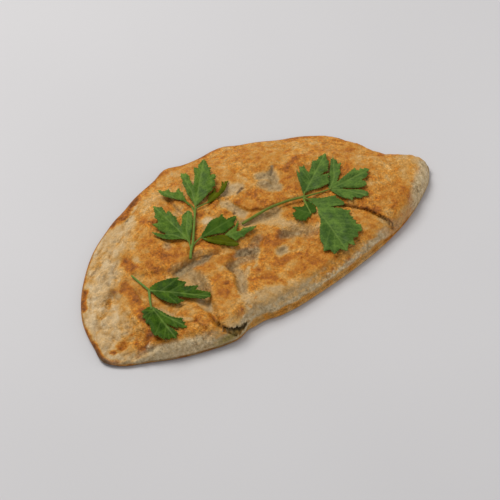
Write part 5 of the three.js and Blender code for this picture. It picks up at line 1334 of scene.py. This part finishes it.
def crust_material():
    m = Nodes("browned_dough")
    browning_and_shade, grey_and_shade, shade_and_burnt, herb, wall = (m.attribute(k) for k in ("browning_and_shade", "grey_and_shade", "shade_and_burnt", "herb", "wall"))
    coarse = m.noise(4.6, 4, 0.5, 0.3)
    fine = m.noise(1.5, 4, 0.65, 0.2, (0.3, 0.1, 0.7))
    grain = m.noise(0.6, 2, 0.6, 0.0, (0.9, 0.4, 0.2))
    lively = m.range(browning_and_shade, 0.12, 0.45, 0.42, 1.0)
    spread = m.math("ADD", m.math("MULTIPLY", m.math("SUBTRACT", coarse, 0.5), 0.86), m.math("MULTIPLY", m.math("SUBTRACT", fine, 0.5), 0.36))
    # blotches where it lay harder on the pan, or not at all
    blotch = m.noise(7.5, 3, 0.55, 0.5, (0.35, 0.65, 0.2))
    spread = m.math("ADD", spread, m.math("SUBTRACT", m.range(blotch, 0.55, 0.66, 0.0, 0.15), m.range(blotch, 0.45, 0.34, 0.0, 0.13)))
    level = m.math("ADD", browning_and_shade, m.math("MULTIPLY", spread, lively))
    # raised grains of the crust catch more heat
    specks = m.range(m.cells(2.3, offset=(0.2, 0.6, 0.1)), 0.05, 0.32, 1.0, 0.0)
    hot = m.range(browning_and_shade, 0.25, 0.6)
    level = m.math("ADD", level, m.math("MULTIPLY", m.math("MULTIPLY", specks, hot), 0.08))
    colour = m.ramp(level, [
        (0.0, (212, 185, 142)), (0.16, (202, 165, 110)), (0.36, (199, 148, 73)), (0.56, (194, 129, 38)),
        (0.72, (180, 108, 14)), (0.86, (158, 89, 7)), (1.0, (126, 70, 5)),
    ])
    # grey of unbrowned dough, and painted shade in hollows and creases, mixed in by the grey mask
    greys = m.ramp(m.noise(2.2, 4, 0.6, 0.2, (0.5, 0.5, 0.0)), [
        (0.28, (90, 78, 52)), (0.5, (142, 123, 88)), (0.72, (190, 170, 130)),
    ])
    colour = m.mix(m.math("MULTIPLY", grey_and_shade, 0.9), colour, greys)
    sides = m.ramp(m.noise(2.8, 4, 0.62, 0.3, (0.25, 0.75, 0.4)), [
        (0.30, (146, 121, 81)), (0.48, (198, 175, 133)), (0.68, (224, 205, 166)),
    ])
    colour = m.mix(m.math("MULTIPLY", wall, 0.9), colour, sides)
    olive = m.ramp(m.noise(1.6, 3, 0.6, 0.2, (0.1, 0.9, 0.0)), [(0.3, (120, 104, 44)), (0.7, (176, 152, 84))])
    colour = m.mix(herb, colour, olive)
    # light and dark grains that keep the colour's hue
    tone = m.math("MULTIPLY", m.range(m.noise(2.6, 5, 0.65, 0.4, (0.15, 0.35, 0.55)), 0.27, 0.73, 0.79, 1.25),
                  m.range(m.noise(0.95, 3, 0.6, 0.0, (0.65, 0.05, 0.35)), 0.27, 0.73, 0.80, 1.26))
    tone = m.math("MULTIPLY", tone, m.range(m.noise(1.5, 2, 0.5, 0.3, (0.45, 0.75, 0.15)), 0.30, 0.70, 0.87, 1.14))
    # the grain is strong in some places and faint in others
    grainy = m.range(m.noise(17, 2, 0.5, 0.0, (0.75, 0.25, 0.6)), 0.38, 0.62, 0.45, 1.15)
    tone = m.math("ADD", m.math("MULTIPLY", m.math("SUBTRACT", tone, 1.02), m.math("MULTIPLY", grainy, m.range(lively, 0.42, 1.0, 0.6, 1.0))), 1.02)
    tones = m.tree.nodes.new("ShaderNodeCombineColor")
    for k in range(3):
        m.link(tone, tones.inputs[k])
    colour = m.mix(1.0, colour, tones.outputs[0], "MULTIPLY")
    # dark brown of burnt marks, and painted shade in creases, hollows, the crack and the tear
    colour = m.mix(m.math("MULTIPLY", shade_and_burnt, 0.92), colour, linear(62, 38, 14))
    m.link(colour, m.shader.inputs["Base Color"])
    rough = m.range(m.noise(3.0, 3, 0.6, 0.0, (0.7, 0.2, 0.2)), 0.3, 0.7, 0.36, 0.60)
    m.link(rough, m.shader.inputs["Roughness"])
    m.shader.inputs["Specular IOR Level"].default_value = 0.30
    height = m.math("ADD", m.math("MULTIPLY", fine, 0.8), m.math("MULTIPLY", grain, 0.5))
    height = m.math("ADD", height, m.math("MULTIPLY", specks, 0.3))
    normal = m.bump(height, 1.0, 1.0)
    m.link(normal, m.shader.inputs["Normal"])
    return m.material


def filling_material():
    m = Nodes("chopped_herbs")
    bits = m.cells(2.4, offset=(0.4, 0.1, 0.3))
    soft = m.noise(3.0, 4, 0.6, 0.4)
    value = m.math("ADD", m.math("MULTIPLY", bits, 0.5), m.math("MULTIPLY", soft, 0.6))
    # the dark greens of chopped herbs, made darker with painted shade, as the filling shows only deep in the tear
    colour = m.ramp(value, [(0.2, (20, 24, 4)), (0.45, (40, 42, 10)), (0.7, (68, 66, 20)), (0.9, (104, 94, 44))])
    m.link(colour, m.shader.inputs["Base Color"])
    m.link(m.range(soft, 0.3, 0.7, 0.3, 0.55), m.shader.inputs["Roughness"])
    m.link(m.bump(value, 0.8, 0.6), m.shader.inputs["Normal"])
    return m.material


def leaf_material(name, light, deep, stem, gloss):
    m = Nodes(name)
    vein, under, stalk, rim, shade = (m.attribute(k) for k in ("vein", "under", "stalk", "rim", "deep"))
    soft = m.noise(6.0, 3, 0.55, 0.3, (0.2, 0.2, 0.9))
    fine = m.noise(0.9, 3, 0.6, 0.0, (0.8, 0.3, 0.1))
    value = m.math("ADD", m.math("MULTIPLY", soft, 0.6), m.math("MULTIPLY", fine, 0.4))
    blade = m.ramp(value, [(0.38, deep), (0.5, tuple(mix(a, b, 0.5) for a, b in zip(deep, light))), (0.62, light)])
    pale = m.mix(m.math("MULTIPLY", vein, 0.50), blade, linear(124, 148, 70))
    pale = m.mix(m.range(rim, 0.0, 0.6, 0.22, 0.0), pale, linear(112, 134, 56))
    # painted shade: leaflets with a deep value turn towards a darker green
    pale = m.mix(m.math("MULTIPLY", shade, 0.75), pale, m.mix(m.math("MULTIPLY", vein, 0.3), linear(45, 74, 14), linear(86, 113, 40)))
    back = m.ramp(value, [(0.36, (62, 70, 2)), (0.64, (86, 92, 6))])
    pale = m.mix(under, pale, m.mix(m.math("MULTIPLY", vein, 0.35), back, linear(112, 122, 40)))
    stems = m.ramp(m.noise(1.4, 3, 0.6, 0.2, (0.1, 0.5, 0.5)), [(0.3, stem), (0.7, tuple(min(255, c * 1.25) for c in stem))])
    m.link(m.mix(stalk, pale, stems), m.shader.inputs["Base Color"])
    m.link(m.range(soft, 0.3, 0.7, 0.48, 0.64), m.shader.inputs["Roughness"])
    dull = m.math("MULTIPLY", m.math("MAXIMUM", under, shade), 0.07)
    m.link(m.math("SUBTRACT", gloss, dull), m.shader.inputs["Specular IOR Level"])
    height = m.math("SUBTRACT", m.math("MULTIPLY", fine, 0.5), m.math("MULTIPLY", vein, 0.6))
    m.link(m.bump(height, 0.35, 0.25), m.shader.inputs["Normal"])
    return m.material


def floor_material():
    m = Nodes("pale_table")
    m.link(m.ramp(m.noise(260, 2, 0.5), [(0.3, (203, 202, 204)), (0.7, (207, 206, 208))]), m.shader.inputs["Base Color"])
    m.shader.inputs["Roughness"].default_value = 0.6
    m.shader.inputs["Specular IOR Level"].default_value = 0.2
    return m.material


def dress(obj, material):
    obj.data.materials.clear()
    obj.data.materials.append(material)
    obj.data.polygons.foreach_set("material_index", [0] * len(obj.data.polygons))


# -------------------------------------------------------------------- pieces
bread, bread_roof = make_bread()
dress(bread, crust_material())
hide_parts("bread")
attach(bread, "root")

filling = make_filling(bread_roof)
dress(filling, filling_material())
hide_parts("filling")
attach(filling, "root")

GROUND = Ground()
GREENS = {
    "parsley_1": ((101, 129, 43), (50, 79, 18), (92, 114, 48), 0.10),
    "parsley_2": ((95, 124, 48), (50, 77, 24), (96, 110, 44), 0.10),
    "parsley_3": ((72, 101, 20), (30, 56, 2), (92, 116, 54), 0.07),
}
for number, sprig_name in enumerate(("parsley_1", "parsley_2", "parsley_3"), 1):
    sprig = make_sprig(sprig_name, GROUND, number)
    dress(sprig, leaf_material(sprig_name + "_leaf", *GREENS[sprig_name]))
    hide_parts(sprig_name)
    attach(sprig, "root")

# --------------------------------------------------------------------- stage
bpy.ops.mesh.primitive_plane_add(size=6, location=(0, 0, -0.00005))
floor = bpy.context.object
floor.name = "table"
dress(floor, floor_material())

scene = bpy.context.scene
scene.view_settings.view_transform = "Standard"
scene.view_settings.look = "None"
scene.view_settings.exposure = 0.0
scene.view_settings.gamma = 1.0
world = bpy.data.worlds.new("studio")
scene.world = world
world.use_nodes = True
world.node_tree.nodes["Background"].inputs[0].default_value = (1.0, 0.99, 0.985, 1)
world.node_tree.nodes["Background"].inputs[1].default_value = 0.42


def area(name, where, size, power, colour=(1, 1, 1)):
    light = bpy.data.lights.new(name, "AREA")
    light.shape, light.size, light.energy, light.color = "SQUARE", size, power, colour
    obj = bpy.data.objects.new(name, light)
    obj.location = where
    obj.rotation_euler = (-Vector(where)).to_track_quat("-Z", "Y").to_euler()
    bpy.context.scene.collection.objects.link(obj)


area("key", (-0.16, 0.95, 1.35), 0.85, 20.5, (1.0, 0.985, 0.96))
area("fill", (0.50, -0.45, 0.22), 0.30, 0.65)

camera = bpy.data.cameras.new("camera")
camera.sensor_width, camera.lens, camera.sensor_fit = 36.0, 132.48, "HORIZONTAL"
camera.shift_x, camera.shift_y = 0.01442, -0.03902
camera.clip_end = 20
viewer = bpy.data.objects.new("camera", camera)
viewer.matrix_world = Matrix([
    [RIGHT[0], UP[0], BACK[0], (CENTRE_SHIFT[0] + BACK[0] * AWAY) * MM],
    [RIGHT[1], UP[1], BACK[1], (CENTRE_SHIFT[1] + BACK[1] * AWAY) * MM],
    [RIGHT[2], UP[2], BACK[2], BACK[2] * AWAY * MM],
    [0, 0, 0, 1],
])
bpy.context.scene.collection.objects.link(viewer)
scene.camera = viewer
